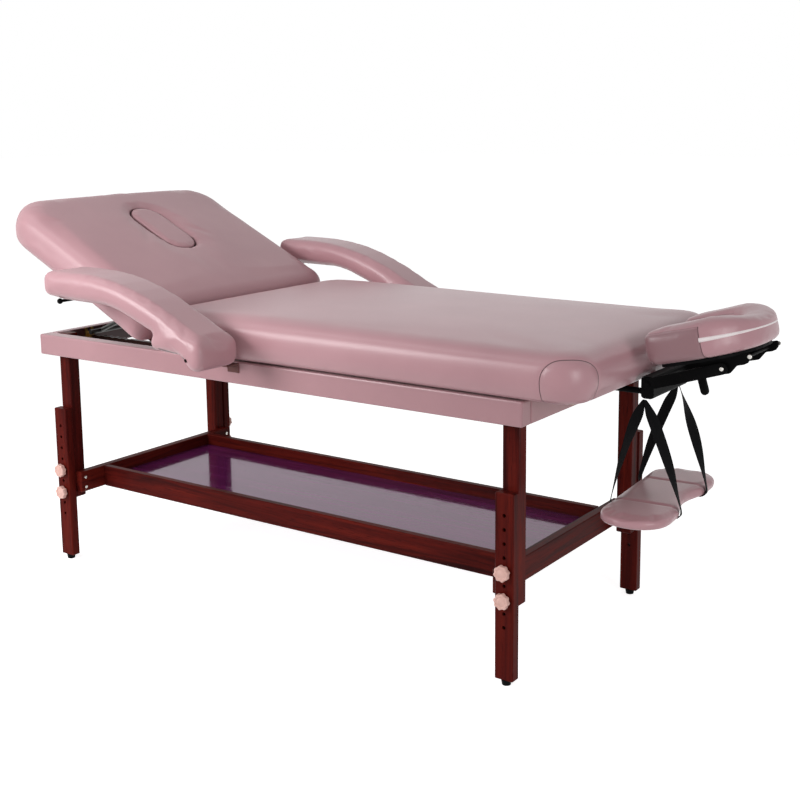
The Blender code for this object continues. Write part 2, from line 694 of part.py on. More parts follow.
def build_leg(name, x, sign, root):
    """A fixed post, its sliding extension with the row of holes, two star knobs and the glide."""
    post_out = HALF_WIDTH - SIDE_RAIL - FIT
    post_ys = sorted((sign * post_out, sign * (post_out - POST_DEPTH)))
    half = POST_WIDTH / 2
    mesh = box_mesh((x - half, post_ys[0], POST_BOTTOM), (x + half, post_ys[1], APRON_TOP), 0.002, 1)
    piece("leg_post_" + name, mesh, "mahogany", root)

    face = post_out + FIT
    bottom = GLIDE_HEIGHT + FIT
    slide = empty("leg_slide_" + name, root, (x, sign * (face + EXT_DEPTH), bottom))
    ys = sorted((0, -sign * EXT_DEPTH))
    half = EXT_WIDTH / 2
    extension = piece("leg_extension_" + name,
                      box_mesh((-half, ys[0], 0), (half, ys[1], EXT_TOP - bottom), 0.002, 1), "mahogany", slide)
    for index in range(HOLE_COUNT):
        z = HOLE_LOWEST + index * HOLE_PITCH - bottom
        combine(extension, rod_mesh((0, ys[0] - FIT, z), EXT_DEPTH + 2 * FIT, HOLE_RADIUS, "Y", 12))
    for order, index in zip(("lower", "upper"), KNOB_HOLES):
        z = HOLE_LOWEST + index * HOLE_PITCH - bottom
        turn = empty("knob_turn_" + order + "_" + name, slide, (0, sign * FIT, z))
        piece("leg_knob_" + order + "_" + name, knob_mesh(sign, EXT_DEPTH), "knob", turn)
    start = (0, -sign * EXT_DEPTH / 2, -bottom)
    glide = rod_mesh(start, GLIDE_HEIGHT, GLIDE_RADIUS * 0.8, "Z", 16, GLIDE_RADIUS)
    piece("leg_glide_" + name, glide, "black_plastic", slide)


def build_shelf(root):
    """The tray between the legs: two end rails, two long rails and the panel."""
    bottom = SHELF_TOP - SHELF_HEIGHT
    post_inner = LEG_INSET + EXT_WIDTH / 2 + POST_WIDTH / 2 + FIT
    reach = HALF_WIDTH - SIDE_RAIL - FIT
    for name, x in (("back", post_inner), ("head", APRON_LENGTH - post_inner - SHELF_RAIL)):
        mesh = box_mesh((x, -reach, bottom), (x + SHELF_RAIL, reach, SHELF_TOP), 0.002, 1)
        piece("shelf_rail_" + name, mesh, "mahogany", root)
    start = post_inner + SHELF_RAIL + FIT
    stop = APRON_LENGTH - start
    outer = HALF_WIDTH - LONG_RAIL_INSET
    for side, sign in SIDES:
        ys = sorted((sign * outer, sign * (outer - LONG_RAIL)))
        mesh = box_mesh((start, ys[0], bottom), (stop, ys[1], SHELF_TOP), 0.002, 1)
        piece("shelf_rail_" + side, mesh, "mahogany", root)
    half = outer - LONG_RAIL - FIT
    low = bottom + PANEL_RISE
    piece("shelf_panel", box_mesh((start, -half, low), (stop, half, low + PANEL)), "mahogany", root)


def build_cradle_base(cradle):
    """The dowels that plug into the head rail, and the base with its pivot rod."""
    start = APRON_LENGTH - DOWEL_INSIDE
    for side, sign in SIDES:
        rod = rod_mesh((start, sign * DOWEL_SPREAD, DOWEL_Z), BASE_X - FIT - start, DOWEL_RADIUS, "X")
        piece("cradle_dowel_" + side, rod, "aluminium", cradle)
    stop = BASE_X + BASE_LENGTH
    places = ((BASE_X, BASE_BOTTOM), (stop, BASE_BOTTOM), (stop, BASE_TOP), (BASE_X, BASE_TOP))
    corners = [(x, z, BASE_ROUND) for x, z in places]
    block = outline_mesh(fillet(corners, 3), 2 * BASE_HALF_WIDTH, "XZ")
    reach = BASE_HALF_WIDTH + FIT + BAR_THICKNESS + PIVOT_HEAD
    rod = rod_mesh((LIFT_PIVOT_X, -reach, LIFT_PIVOT_Z), 2 * reach, PIVOT_RADIUS, "Y")
    piece("cradle_base", merged(block, rod), "black_metal", cradle)


def build_cradle_lift(lift):
    """The two lift bars, joined by the tilt rod and the cam rod, seen from the base pivot."""
    inner = BASE_HALF_WIDTH + FIT
    tilt_rod = Vector((LIFT_REACH, LIFT_RISE))
    cam = tilt_rod.normalized() * CAM_REACH - Vector((0, CAM_DROP))
    bars = [outline_mesh(capsule((0, 0), tilt_rod, BAR_HALF_HEIGHT), BAR_THICKNESS, "XZ",
                         sign * (inner + BAR_THICKNESS / 2)) for _, sign in SIDES]
    width = inner + BAR_THICKNESS / 2
    rods = [rod_mesh((at.x, -width, at.y), 2 * width, radius, "Y", 12)
            for at, radius in ((tilt_rod, PIVOT_RADIUS), (cam, CAM_RADIUS))]
    frame = piece("cradle_lift_frame", merged(*bars, *rods), "black_metal", lift)
    combine(frame, rod_mesh((0, -2 * width, 0), 4 * width, PIVOT_RADIUS + RUN, "Y", 20))
    return cam


def build_lever(lever):
    """The cam lever on the cam rod, hanging straight down from its pivot."""
    tip = Vector((0.010, -LEVER_LENGTH))
    shape = outline_mesh(capsule((0, 0), tip, LEVER_WIDTH / 2), LEVER_THICKNESS, "XZ", LEVER_Y)
    mesh = rounded_rim(shape, 0.002, 1, 2)
    handle = piece("cradle_cam_lever", mesh, "black_plastic", lever)
    start = (0, LEVER_Y - LEVER_THICKNESS, 0)
    combine(handle, rod_mesh(start, 2 * LEVER_THICKNESS, CAM_RADIUS + RUN, "Y", 16))


def horseshoe(trim):
    """The outline of the face rest in its own plane, open on the side of the table."""
    back = CRADLE_SHIFT - CRADLE_LENGTH / 2 + trim
    width = CRADLE_HALF_WIDTH - trim
    front = CRADLE_SHIFT + CRADLE_LENGTH / 2 - trim
    slot = FACE_HALF_WIDTH + trim
    slot_end = front - (CRADLE_LENGTH - trim) * 0.28 + trim
    tip = CRADLE_EDGE + 0.008
    return (
        (back, -width, tip), (front, -width, width * 0.86), (front, width, width * 0.86), (back, width, tip),
        (back, slot, tip), (slot_end, slot, slot * 0.95), (slot_end, -slot, slot * 0.95), (back, -slot, tip),
    )


def build_cradle_head(tilt):
    """The tilting head of the cradle, seen from the tilt rod: side bars, platform and face cushion."""
    rise = Matrix.Rotation(-math.radians(TILT), 4, "Y")
    points = fillet(horseshoe(PLATFORM_TRIM), 6)
    platform = outline_mesh(points, PLATFORM, "XY", PLATFORM_RISE + PLATFORM / 2)
    platform.transform(rise)
    piece("cradle_platform", platform, "black_plastic", tilt)
    low = PLATFORM_RISE + PLATFORM + FIT
    mesh = pad_mesh(horseshoe(0.0), low, CRADLE_PAD, CRADLE_EDGE, steps=7)
    mesh.transform(rise)
    piece("cradle_cushion", mesh, "vinyl", tilt, smooth=50)
    outer = BASE_HALF_WIDTH - 0.004
    top = PLATFORM_RISE - FIT
    corners = (
        (-TILT_BAR_REAR, top - TILT_BAR_HEIGHT, 0.006), (-0.012, -0.013, 0.008), (0.012, -0.013, 0.008),
        (0.030, top - TILT_BAR_HEIGHT, 0.010), (TILT_BAR_FRONT, top - TILT_BAR_HEIGHT, 0.016),
        (TILT_BAR_FRONT, top, 0.004), (-TILT_BAR_REAR, top, 0.004),
    )
    bars = [outline_mesh(fillet(corners, 3), BAR_THICKNESS, "XZ", sign * (outer - BAR_THICKNESS / 2))
            for _, sign in SIDES]
    tie = rod_mesh((TILT_BAR_FRONT - TILT_TIE_SET, -outer + BAR_THICKNESS / 2, top - TILT_BAR_HEIGHT / 2),
                   2 * outer - BAR_THICKNESS, TILT_TIE, "Y", 12)
    mesh = merged(*bars, tie)
    mesh.transform(rise)
    frame = piece("cradle_tilt_frame", mesh, "black_metal", tilt)
    combine(frame, rod_mesh((0, -2 * outer, 0), 4 * outer, PIVOT_RADIUS + RUN, "Y", 20))


def sling_outline():
    """The outline of the sling's arm pad, as corners: round lobes and a waist on the side of the sitter."""
    half = SLING_LENGTH / 2
    wide, waist = SLING_HALF_WIDTH, SLING_WAIST
    shoulder = half * 0.42
    end = wide * 0.88
    return (
        (wide, -half, end), (wide, -shoulder, wide), (waist, 0.0, 2 * wide), (wide, shoulder, wide),
        (wide, half, end), (-wide, half, end), (-wide, -half, end),
    )


def build_sling(sling):
    """Two webbing straps and the arm pad that hangs in them, seen from the straps' bend."""
    drop = -SLING_DROP
    mesh = pad_mesh(sling_outline(), drop - SLING_PAD / 2, SLING_PAD, SLING_EDGE, steps=6)
    piece("sling_pad", mesh, "vinyl", sling, smooth=50)
    side = SLING_HALF_WIDTH + FIT
    tip = side + STRAP_TIP
    rise, dip = drop + SLING_PAD / 2, drop - SLING_PAD / 3
    half = STRAP_WIDTH / 2
    right = (
        (0, 0, 0), (half, -STRAP_ROOF, 0.003), (tip, rise, 0.004),
        (tip, dip, 0), (side, dip, 0), (side, rise, 0.004),
    )
    left = tuple((-x, z, radius) for x, z, radius in reversed(right[1:]))
    corners = right + ((0, -STRAP_FORK, 0.004),) + left
    for name, sign in SIDES:
        mesh = outline_mesh(fillet(corners, 3), STRAP_THICKNESS, "XZ", sign * STRAP_Y)
        piece("sling_strap_" + name, mesh, "webbing", sling)


def centre_on_floor(root):
    """Moves the table so that its origin is the bottom centre of its box."""
    graph = bpy.context.evaluated_depsgraph_get()
    graph.update()
    xs = []
    for thing in parts.objects:
        if thing.type == "MESH":
            shape = thing.evaluated_get(graph)
            xs += [(shape.matrix_world @ vert.co).x for vert in shape.data.vertices]
    root.location.x = -(min(xs) + max(xs)) / 2


def build():
    """Builds the whole table."""
    root = empty("massage_table_root")
    back = empty("back_axis", root, (SEAM_X, 0, HINGE_Z), BACK_ANGLE)
    pivot = Vector((-PROP_REACH, 0, PAD_BASE - HINGE_Z - PROP_DROP))
    height = (back.matrix_basis @ pivot).z
    lean = math.degrees(math.asin((height - FOOT_HEIGHT) / PROP_LENGTH))
    prop = empty("prop_axis", back, pivot, -lean - BACK_ANGLE)
    build_apron(root)
    build_main_top(root)
    build_back(back)
    build_hinge(root, back)
    build_prop(root, back, prop)
    inner = TOP_WIDTH / 2 + ARM_GAP
    for side, sign in SIDES:
        arm = empty("arm_axis_" + side, root, (ARM_PIVOT_X, 0, ARM_PIVOT_Z))
        place = (PIN_X - ARM_PIVOT_X, sign * (inner + PIN_SET), PIN_Z - ARM_PIVOT_Z)
        build_arm(side, sign, root, arm, empty("arm_release_axis_" + side, arm, place))
    for name, x, sign in leg_places():
        build_leg(name, x, sign, root)
    build_shelf(root)
    cradle = empty("cradle_slide", root)
    build_cradle_base(cradle)
    lift = empty("cradle_lift_axis", cradle, (LIFT_PIVOT_X, 0, LIFT_PIVOT_Z))
    cam = build_cradle_lift(lift)
    build_lever(empty("cam_axis", lift, (cam.x, 0, cam.y)))
    build_cradle_head(empty("cradle_tilt_axis", lift, (LIFT_REACH, 0, LIFT_RISE)))
    build_sling(empty("sling_axis", cradle, (STRAP_APEX_X, 0, BASE_BOTTOM - FIT)))
    centre_on_floor(root)


clear_scene()
parts = make_collection("massage_table")
cutters = make_collection("massage_table_cutters")
finishes = {name: make_finish(name) for name in FINISHES}
build()
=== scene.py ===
"""Massage table with a lift back, padded arms, a shelf, a face cradle and an arm sling.

Metres, +Z up, +X towards the face cradle, and the origin on the floor under the middle of the table.
"""
from __future__ import annotations

import logging
import math
from contextlib import contextmanager
from dataclasses import dataclass
from enum import Enum
from typing import Callable, Iterator, Sequence

import bmesh
import bpy
from mathutils import Matrix, Vector


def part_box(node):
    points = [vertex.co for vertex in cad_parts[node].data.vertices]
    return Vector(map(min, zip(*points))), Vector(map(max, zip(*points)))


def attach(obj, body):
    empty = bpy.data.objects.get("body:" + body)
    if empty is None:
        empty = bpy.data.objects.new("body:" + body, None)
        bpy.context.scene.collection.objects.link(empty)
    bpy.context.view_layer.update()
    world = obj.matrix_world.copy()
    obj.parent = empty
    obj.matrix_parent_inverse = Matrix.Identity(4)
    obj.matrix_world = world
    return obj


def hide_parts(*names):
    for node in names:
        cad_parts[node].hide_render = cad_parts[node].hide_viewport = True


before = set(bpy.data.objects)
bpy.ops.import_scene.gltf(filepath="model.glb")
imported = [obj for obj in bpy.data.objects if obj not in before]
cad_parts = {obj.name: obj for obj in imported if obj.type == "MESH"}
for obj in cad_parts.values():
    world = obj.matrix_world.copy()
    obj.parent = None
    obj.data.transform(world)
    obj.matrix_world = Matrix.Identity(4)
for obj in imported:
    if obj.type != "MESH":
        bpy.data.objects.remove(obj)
LOG = logging.getLogger("massage_table")

Colour = tuple[float, float, float]
Point = tuple[float, float, float]
Socket = bpy.types.NodeSocket
Piece = bpy.types.Object


class Side(Enum):
    """The two long sides of the table, by the sign of Y."""

    NEAR = -1
    FAR = 1

    @property
    def label(self) -> str:
        """The side's word in the names of nodes and bodies."""
        return self.name.lower()


class Grain(Enum):
    """The way that the wood of a board runs, as the stretch of its figure along X, Y and Z."""

    ALONG_X = (0.045, 1.0, 1.0)
    ALONG_Y = (1.0, 0.045, 1.0)
    ALONG_Z = (1.0, 1.0, 0.045)


# how Blender's tools are used


def focus(piece: Piece) -> None:
    """Selects one piece alone and makes it active.

    Args:
        piece: The piece to work on.
    """
    bpy.ops.object.select_all(action="DESELECT")
    piece.hide_set(False)
    piece.select_set(True)
    bpy.context.view_layer.objects.active = piece


@contextmanager
def editing(piece: Piece) -> Iterator[None]:
    """Opens a piece in edit mode with nothing selected, and closes it again.

    Args:
        piece: The piece to edit.
    """
    focus(piece)
    bpy.ops.object.mode_set(mode="EDIT")
    bpy.ops.mesh.select_all(action="DESELECT")
    yield
    bpy.ops.object.mode_set(mode="OBJECT")


def select(piece: Piece, kind: str, test: Callable[[object], bool]) -> None:
    """Selects the vertices, edges or faces of a piece in edit mode that pass a test.

    Args:
        piece: The piece that is open in edit mode.
        kind: VERT, EDGE or FACE.
        test: Says whether one element is taken.
    """
    bpy.ops.mesh.select_mode(type=kind)
    bpy.ops.mesh.select_all(action="DESELECT")
    bm = bmesh.from_edit_mesh(piece.data)
    elements = {"VERT": bm.verts, "EDGE": bm.edges, "FACE": bm.faces}[kind]
    for element in [element for element in elements if test(element)]:
        element.select_set(True)
    bm.select_flush_mode()
    bmesh.update_edit_mesh(piece.data)


def apply_modifier(piece: Piece, kind: str, **settings: object) -> None:
    """Adds a modifier to a piece and applies it.

    Args:
        piece: The piece.
        kind: The modifier's type.
        settings: The modifier's settings by name.
    """
    focus(piece)
    bpy.ops.object.modifier_add(type=kind)
    modifier = piece.modifiers[-1]
    for name, value in settings.items():
        setattr(modifier, name, value)
    bpy.ops.object.modifier_apply(modifier=modifier.name)


def settle(piece: Piece, name: str) -> Piece:
    """Names a new piece and puts its place into its mesh.

    Args:
        piece: The piece.
        name: Its name.

    Returns:
        The same piece.
    """
    focus(piece)
    bpy.ops.object.transform_apply(location=True, rotation=True, scale=True)
    piece.name = name
    piece.data.name = name
    return piece


def smooth(piece: Piece, degrees: float) -> None:
    """Shades a piece smooth, apart from edges sharper than an angle."""
    focus(piece)
    bpy.ops.object.shade_smooth_by_angle(angle=math.radians(degrees))


def dress(piece: Piece, material: bpy.types.Material) -> None:
    """Gives a piece one material."""
    piece.data.materials.clear()
    piece.data.materials.append(material)


def dress_solids(material: bpy.types.Material, *nodes: str) -> None:
    """Gives one material to each of some solids that are shown as they are."""
    for node in nodes:
        dress(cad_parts[node], material)


def copied(piece: Piece, name: str, place: Matrix) -> Piece:
    """Copies a piece with a mesh of its own, and moves the copy's mesh.

    Args:
        piece: The model piece.
        name: The copy's name.
        place: Where the copy goes.

    Returns:
        The copy.
    """
    twin = bpy.data.objects.new(name, piece.data.copy())
    twin.data.name = name
    twin.data.transform(place)
    bpy.context.scene.collection.objects.link(twin)
    return twin


def put(piece: Piece, body: str, material: bpy.types.Material,
        replaces: Sequence[str] = ()) -> None:
    """Dresses a finished piece, lets it ride on its body and hides the solids that it stands for.

    Args:
        piece: The finished piece.
        body: The body that it moves with.
        material: Its material.
        replaces: The solids that it stands for.
    """
    dress(piece, material)
    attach(piece, body)
    if replaces:
        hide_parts(*replaces)
    LOG.info("%s rides on %s, %d faces", piece.name, body, len(piece.data.polygons))


def upholster(pad: Piece, body: str, material: bpy.types.Material, node: str) -> None:
    """Puts a finished pad in the place of its soft solid.

    Args:
        pad: The finished pad.
        body: The body that it moves with.
        material: Its vinyl.
        node: The soft solid.
    """
    put(pad, body, material, [node])


# finishes


class Graph:
    """The node graph of one material."""

    def __init__(self, name: str) -> None:
        """Starts a material with a Principled shader and Object coordinates."""
        self.material = bpy.data.materials.new(name)
        self.material.use_nodes = True
        self.tree = self.material.node_tree
        self.shader = self.tree.nodes["Principled BSDF"]
        self.place: Socket = self.tree.nodes.new("ShaderNodeTexCoord").outputs["Object"]

    def feed(self, socket: Socket, value: object) -> None:
        """Links a socket to a socket, or sets it to a value."""
        if isinstance(value, bpy.types.NodeSocket):
            self.tree.links.new(value, socket)
        else:
            socket.default_value = value

    def add(self, kind: str, inputs: dict[str, object] | None = None, **settings: object) -> bpy.types.Node:
        """Adds a node.

        Args:
            kind: The node's type, without its prefix.
            inputs: Values or sockets for its inputs, by name.
            settings: Its settings.

        Returns:
            The node.
        """
        node = self.tree.nodes.new("ShaderNode" + kind)
        for name, value in settings.items():
            setattr(node, name, value)
        for name, value in (inputs or {}).items():
            self.feed(node.inputs[name], value)
        return node

    def maths(self, operation: str, *values: object) -> Socket:
        """Adds a Math node and returns its result."""
        node = self.add("Math", operation=operation)
        for socket, value in zip(node.inputs, values):
            self.feed(socket, value)
        return node.outputs[0]

    def times(self, first: Socket, *others: object) -> Socket:
        """Multiplies some values."""
        for value in others:
            first = self.maths("MULTIPLY", first, value)
        return first

    def apart(self, first: Socket, second: object) -> Socket:
        """How far two values lie apart."""
        return self.maths("ABSOLUTE", self.maths("SUBTRACT", first, second))

    def axes(self, vector: Socket | None = None) -> tuple[Socket, Socket, Socket]:
        """The X, Y and Z of a vector, or of the place on the object."""
        split = self.add("SeparateXYZ", {"Vector": vector or self.place})
        return split.outputs["X"], split.outputs["Y"], split.outputs["Z"]

    def seen_from(self, origin: Point, angle: float) -> tuple[Socket, Socket, Socket]:
        """The place on the object as seen from an origin, turned about Y."""
        inputs = {"Vector": self.place, "Location": tuple(-value for value in origin)}
        moved = self.add("Mapping", inputs).outputs["Vector"]
        turned = self.add("VectorRotate", {"Vector": moved, "Angle": angle}, rotation_type="Y_AXIS")
        return self.axes(turned.outputs["Vector"])

    def mix(self, share: object, first: object, second: object) -> Socket:
        """Mixes two colours by a share and returns the colour."""
        node = self.add("Mix", data_type="RGBA")
        for index, value in ((0, share), (6, first), (7, second)):
            if isinstance(value, tuple) and len(value) == 3:
                value = (*value, 1.0)
            self.feed(node.inputs[index], value)
        return node.outputs[2]

    def noise(self, scale: float, detail: float, where: Socket | None = None, **inputs: float) -> Socket:
        """Adds a noise over the object and returns its value."""
        values: dict[str, object] = {"Vector": where or self.place, "Scale": scale, "Detail": detail}
        values.update({name.capitalize(): value for name, value in inputs.items()})
        return self.add("TexNoise", values).outputs["Fac"]

    def spread(self, value: Socket, low: float, high: float,
               start: float = 0.3, stop: float = 0.7) -> Socket:
        """Maps a value from start and stop to low and high."""
        inputs = {"Value": value, "From Min": start, "From Max": stop, "To Min": low, "To Max": high}
        return self.add("MapRange", inputs).outputs["Result"]

    def bump(self, height: Socket, distance: float, strength: float,
             normal: Socket | None = None) -> Socket:
        """Turns a height into a normal, on top of another one."""
        inputs: dict[str, object] = {"Height": height, "Distance": distance, "Strength": strength}
        if normal is not None:
            inputs["Normal"] = normal
        return self.add("Bump", inputs).outputs["Normal"]

    def finish(self, **inputs: object) -> bpy.types.Material:
        """Feeds the shader's sockets, by names with _ for spaces, and returns the material."""
        for name, value in inputs.items():
            socket = self.shader.inputs[name.replace("_", " ").title().replace("Ior", "IOR")]
            if isinstance(value, tuple) and len(value) == 3:
                value = (*value, 1.0)
            self.feed(socket, value)
        return self.material


@dataclass(frozen=True)
class Vinyl:
    """Soft upholstery vinyl with a fine pebble grain, sewn lines where a pad has them, and painted shade
    along gaps and on hidden faces where a pad is given it.
    """

    colour: Colour = (0.500, 0.272, 0.300)
    shade: Colour = (0.445, 0.238, 0.265)
    # The thread colour also paints the shade lines along gaps.
    thread_and_shade: Colour = (0.100, 0.045, 0.052)
    # The darkening colour: by default the painted shade of the apron's inner faces.
    inside: Colour = (0.060, 0.012, 0.014)
    pebble: float = 820.0
    roughness: tuple[float, float] = (0.29, 0.38)

    def material(self, name: str, seam: Callable[[Graph], Socket] | None = None,
                 shade_and_dark_ends: Callable[[Graph], Socket] | None = None) -> bpy.types.Material:
        """Makes the vinyl.

        Args:
            name: The material's name.
            seam: Draws a mask of the sewn lines, 1 on a line. For the arms and the back it draws painted
                shade along a gap instead.
            shade_and_dark_ends: Draws a mask of where the vinyl is darkened: painted shade on the apron's
                inner faces, and the darker rear ends of the face rest's rolls.

        Returns:
            The material.
        """
        graph = Graph(name)
        tone = graph.spread(graph.noise(4.5, 3.0), 0.0, 1.0)
        colour = graph.mix(tone, self.colour, self.shade)
        cells = graph.add("TexVoronoi", {"Vector": graph.place, "Scale": self.pebble}, feature="F1")
        fine = graph.noise(self.pebble * 0.5, 4.0)
        grain = graph.maths("ADD", graph.times(cells.outputs["Distance"], 0.7), graph.times(fine, 0.5))
        normal = graph.bump(grain, 0.00022, 0.55)
        roughness = graph.spread(fine, *self.roughness)
        # The seam mask and thread colour draw sewn lines, and also painted shade lines along gaps.
        if seam is not None:
            line = seam(graph)
            colour = graph.mix(line, colour, self.thread_and_shade)
            normal = graph.bump(graph.maths("SUBTRACT", 1.0, line), 0.0016, 0.9, normal)
        # Darkens the vinyl by a mask: painted shade on the apron's inner faces, darker rear ends on the face
        # rest.
        if shade_and_dark_ends is not None:
            colour = graph.mix(shade_and_dark_ends(graph), colour, self.inside)
        return graph.finish(
            base_color=colour, roughness=roughness, normal=normal, sheen_weight=0.10, sheen_roughness=0.45,
            coat_weight=0.05, coat_roughness=0.24, specular_ior_level=0.42,
        )


@dataclass(frozen=True)
class Mahogany:
    """Red-stained hardwood under a varnish."""

    dark: Colour = (0.024, 0.0030, 0.0032)
    middle: Colour = (0.086, 0.0080, 0.0060)
    light: Colour = (0.150, 0.0150, 0.0085)
    varnish: float = 0.02
    gloss: float = 0.16
    shine: float = 0.025
    sheen: Colour = (1.0, 1.0, 1.0)
    polish: tuple[float, float] = (0.30, 0.44)

    def material(self, name: str, grain: Grain) -> bpy.types.Material:
        """Makes the wood of boards whose grain runs one way.

        Args:
            name: The material's name.
            grain: The way of the grain.

        Returns:
            The material.
        """
        graph = Graph(name)
        along = graph.add("Mapping", {"Vector": graph.place, "Scale": grain.value}).outputs["Vector"]
        figure = graph.noise(46.0, 6.0, along, distortion=0.7, roughness=0.6)
        pores = graph.noise(620.0, 2.0, along)
        ramp = graph.add("ValToRGB", {"Fac": figure}).color_ramp
        node = ramp.id_data.nodes[-1]
        ramp.elements[0].position, ramp.elements[0].color = 0.30, (*self.dark, 1.0)
        ramp.elements[1].position, ramp.elements[1].color = 0.78, (*self.light, 1.0)
        ramp.elements.new(0.52).color = (*self.middle, 1.0)
        pits = graph.spread(pores, 1.0, 0.0, 0.28, 0.40)
        colour = graph.mix(pits, node.outputs["Color"], self.dark)
        height = graph.maths("SUBTRACT", figure, graph.times(pits, 0.6))
        return graph.finish(
            base_color=colour, roughness=graph.spread(figure, *self.polish),
            normal=graph.bump(height, 0.00012, 0.5), coat_weight=self.varnish, coat_roughness=self.gloss,
            coat_ior=1.5, specular_ior_level=self.shine, specular_tint=self.sheen,
        )


@dataclass(frozen=True)
class Ply:
    """Bare plywood of the hidden boards and beams."""

    light: Colour = (0.50, 0.36, 0.21)
    dark: Colour = (0.34, 0.22, 0.11)

    def material(self, name: str) -> bpy.types.Material:
        """Makes the plywood, with its figure along X and its layers across Z."""
        graph = Graph(name)
        along = graph.add("Mapping", {"Vector": graph.place, "Scale": (0.06, 1.0, 1.0)}).outputs["Vector"]
        figure = graph.noise(30.0, 6.0, along, distortion=1.2)
        layers = graph.add("TexWave", {"Vector": graph.place, "Scale": 85.0}, bands_direction="Z")
        share = graph.maths("ADD", graph.times(figure, 0.8), graph.times(layers.outputs["Fac"], 0.2))
        colour = graph.mix(graph.spread(share, 0.0, 1.0, 0.25, 0.75), self.dark, self.light)
        return graph.finish(base_color=colour, roughness=graph.spread(figure, 0.55, 0.72),
                            normal=graph.bump(figure, 0.0003, 0.4))


@dataclass(frozen=True)
class Metal:
    """A metal with a drawn, cast or painted surface."""

    colour: Colour
    worn: Colour
    roughness: tuple[float, float]
    metallic: float = 1.0
    texture: float = 240.0
    relief: float = 0.00006
    shine: float = 0.5
    bar: Colour = (0.030, 0.012, 0.010)

    def material(self, name: str, dark: Callable[[Graph], Socket] | None = None) -> bpy.types.Material:
        """Makes the metal.

        Args:
            name: The material's name.
            dark: Draws a mask of where the metal is left dark.

        Returns:
            The material.
        """
        graph = Graph(name)
        cloud = graph.noise(14.0, 4.0)
        skin = graph.noise(self.texture, 3.0)
        colour = graph.mix(graph.spread(cloud, 0.0, 1.0, 0.35, 0.75), self.colour, self.worn)
        if dark is not None:
            colour = graph.mix(dark(graph), colour, self.bar)
        return graph.finish(
            base_color=colour, roughness=graph.spread(skin, *self.roughness),
            normal=graph.bump(skin, self.relief, 0.6), metallic=self.metallic, specular_ior_level=self.shine,
        )


@dataclass(frozen=True)
class Plastic:
    """A moulded plastic with a faint satin texture."""

    colour: Colour
    shade: Colour
    roughness: tuple[float, float]
    shine: float = 0.4

    def material(self, name: str) -> bpy.types.Material:
        """Makes the plastic."""
        graph = Graph(name)
        cloud = graph.noise(60.0, 3.0)
        skin = graph.noise(900.0, 2.0)
        colour = graph.mix(graph.spread(cloud, 0.0, 1.0), self.colour, self.shade)
        return graph.finish(base_color=colour, roughness=graph.spread(skin, *self.roughness),
                            normal=graph.bump(skin, 0.00008, 0.5), specular_ior_level=self.shine)


@dataclass(frozen=True)
class Webbing:
    """Black woven strap, with its ribs drawn on the strap's own length and width."""

    colour: Colour = (0.0030, 0.0030, 0.0034)
    edge: Colour = (0.0110, 0.0110, 0.0120)
    rib: float = 0.0016

    def material(self, name: str) -> bpy.types.Material:
        """Makes the webbing. The strap's map is in metres."""
        graph = Graph(name)
        flat = graph.add("UVMap", uv_map="weave").outputs["UV"]
        width, length, _ = graph.axes(flat)
        turn = 2 * math.pi / self.rib
        across = graph.maths("SINE", graph.times(width, turn))
        along = graph.maths("SINE", graph.times(length, turn * 0.6))
        weave = graph.spread(graph.times(across, along), 0.0, 1.0, -1.0, 1.0)
        fuzz = graph.noise(900.0, 3.0)
        colour = graph.mix(graph.times(weave, fuzz), self.colour, self.edge)
        return graph.finish(base_color=colour, roughness=graph.spread(fuzz, 0.62, 0.85),
                            normal=graph.bump(weave, 0.0004, 0.8), sheen_weight=0.02, sheen_roughness=0.5,
                            specular_ior_level=0.06)


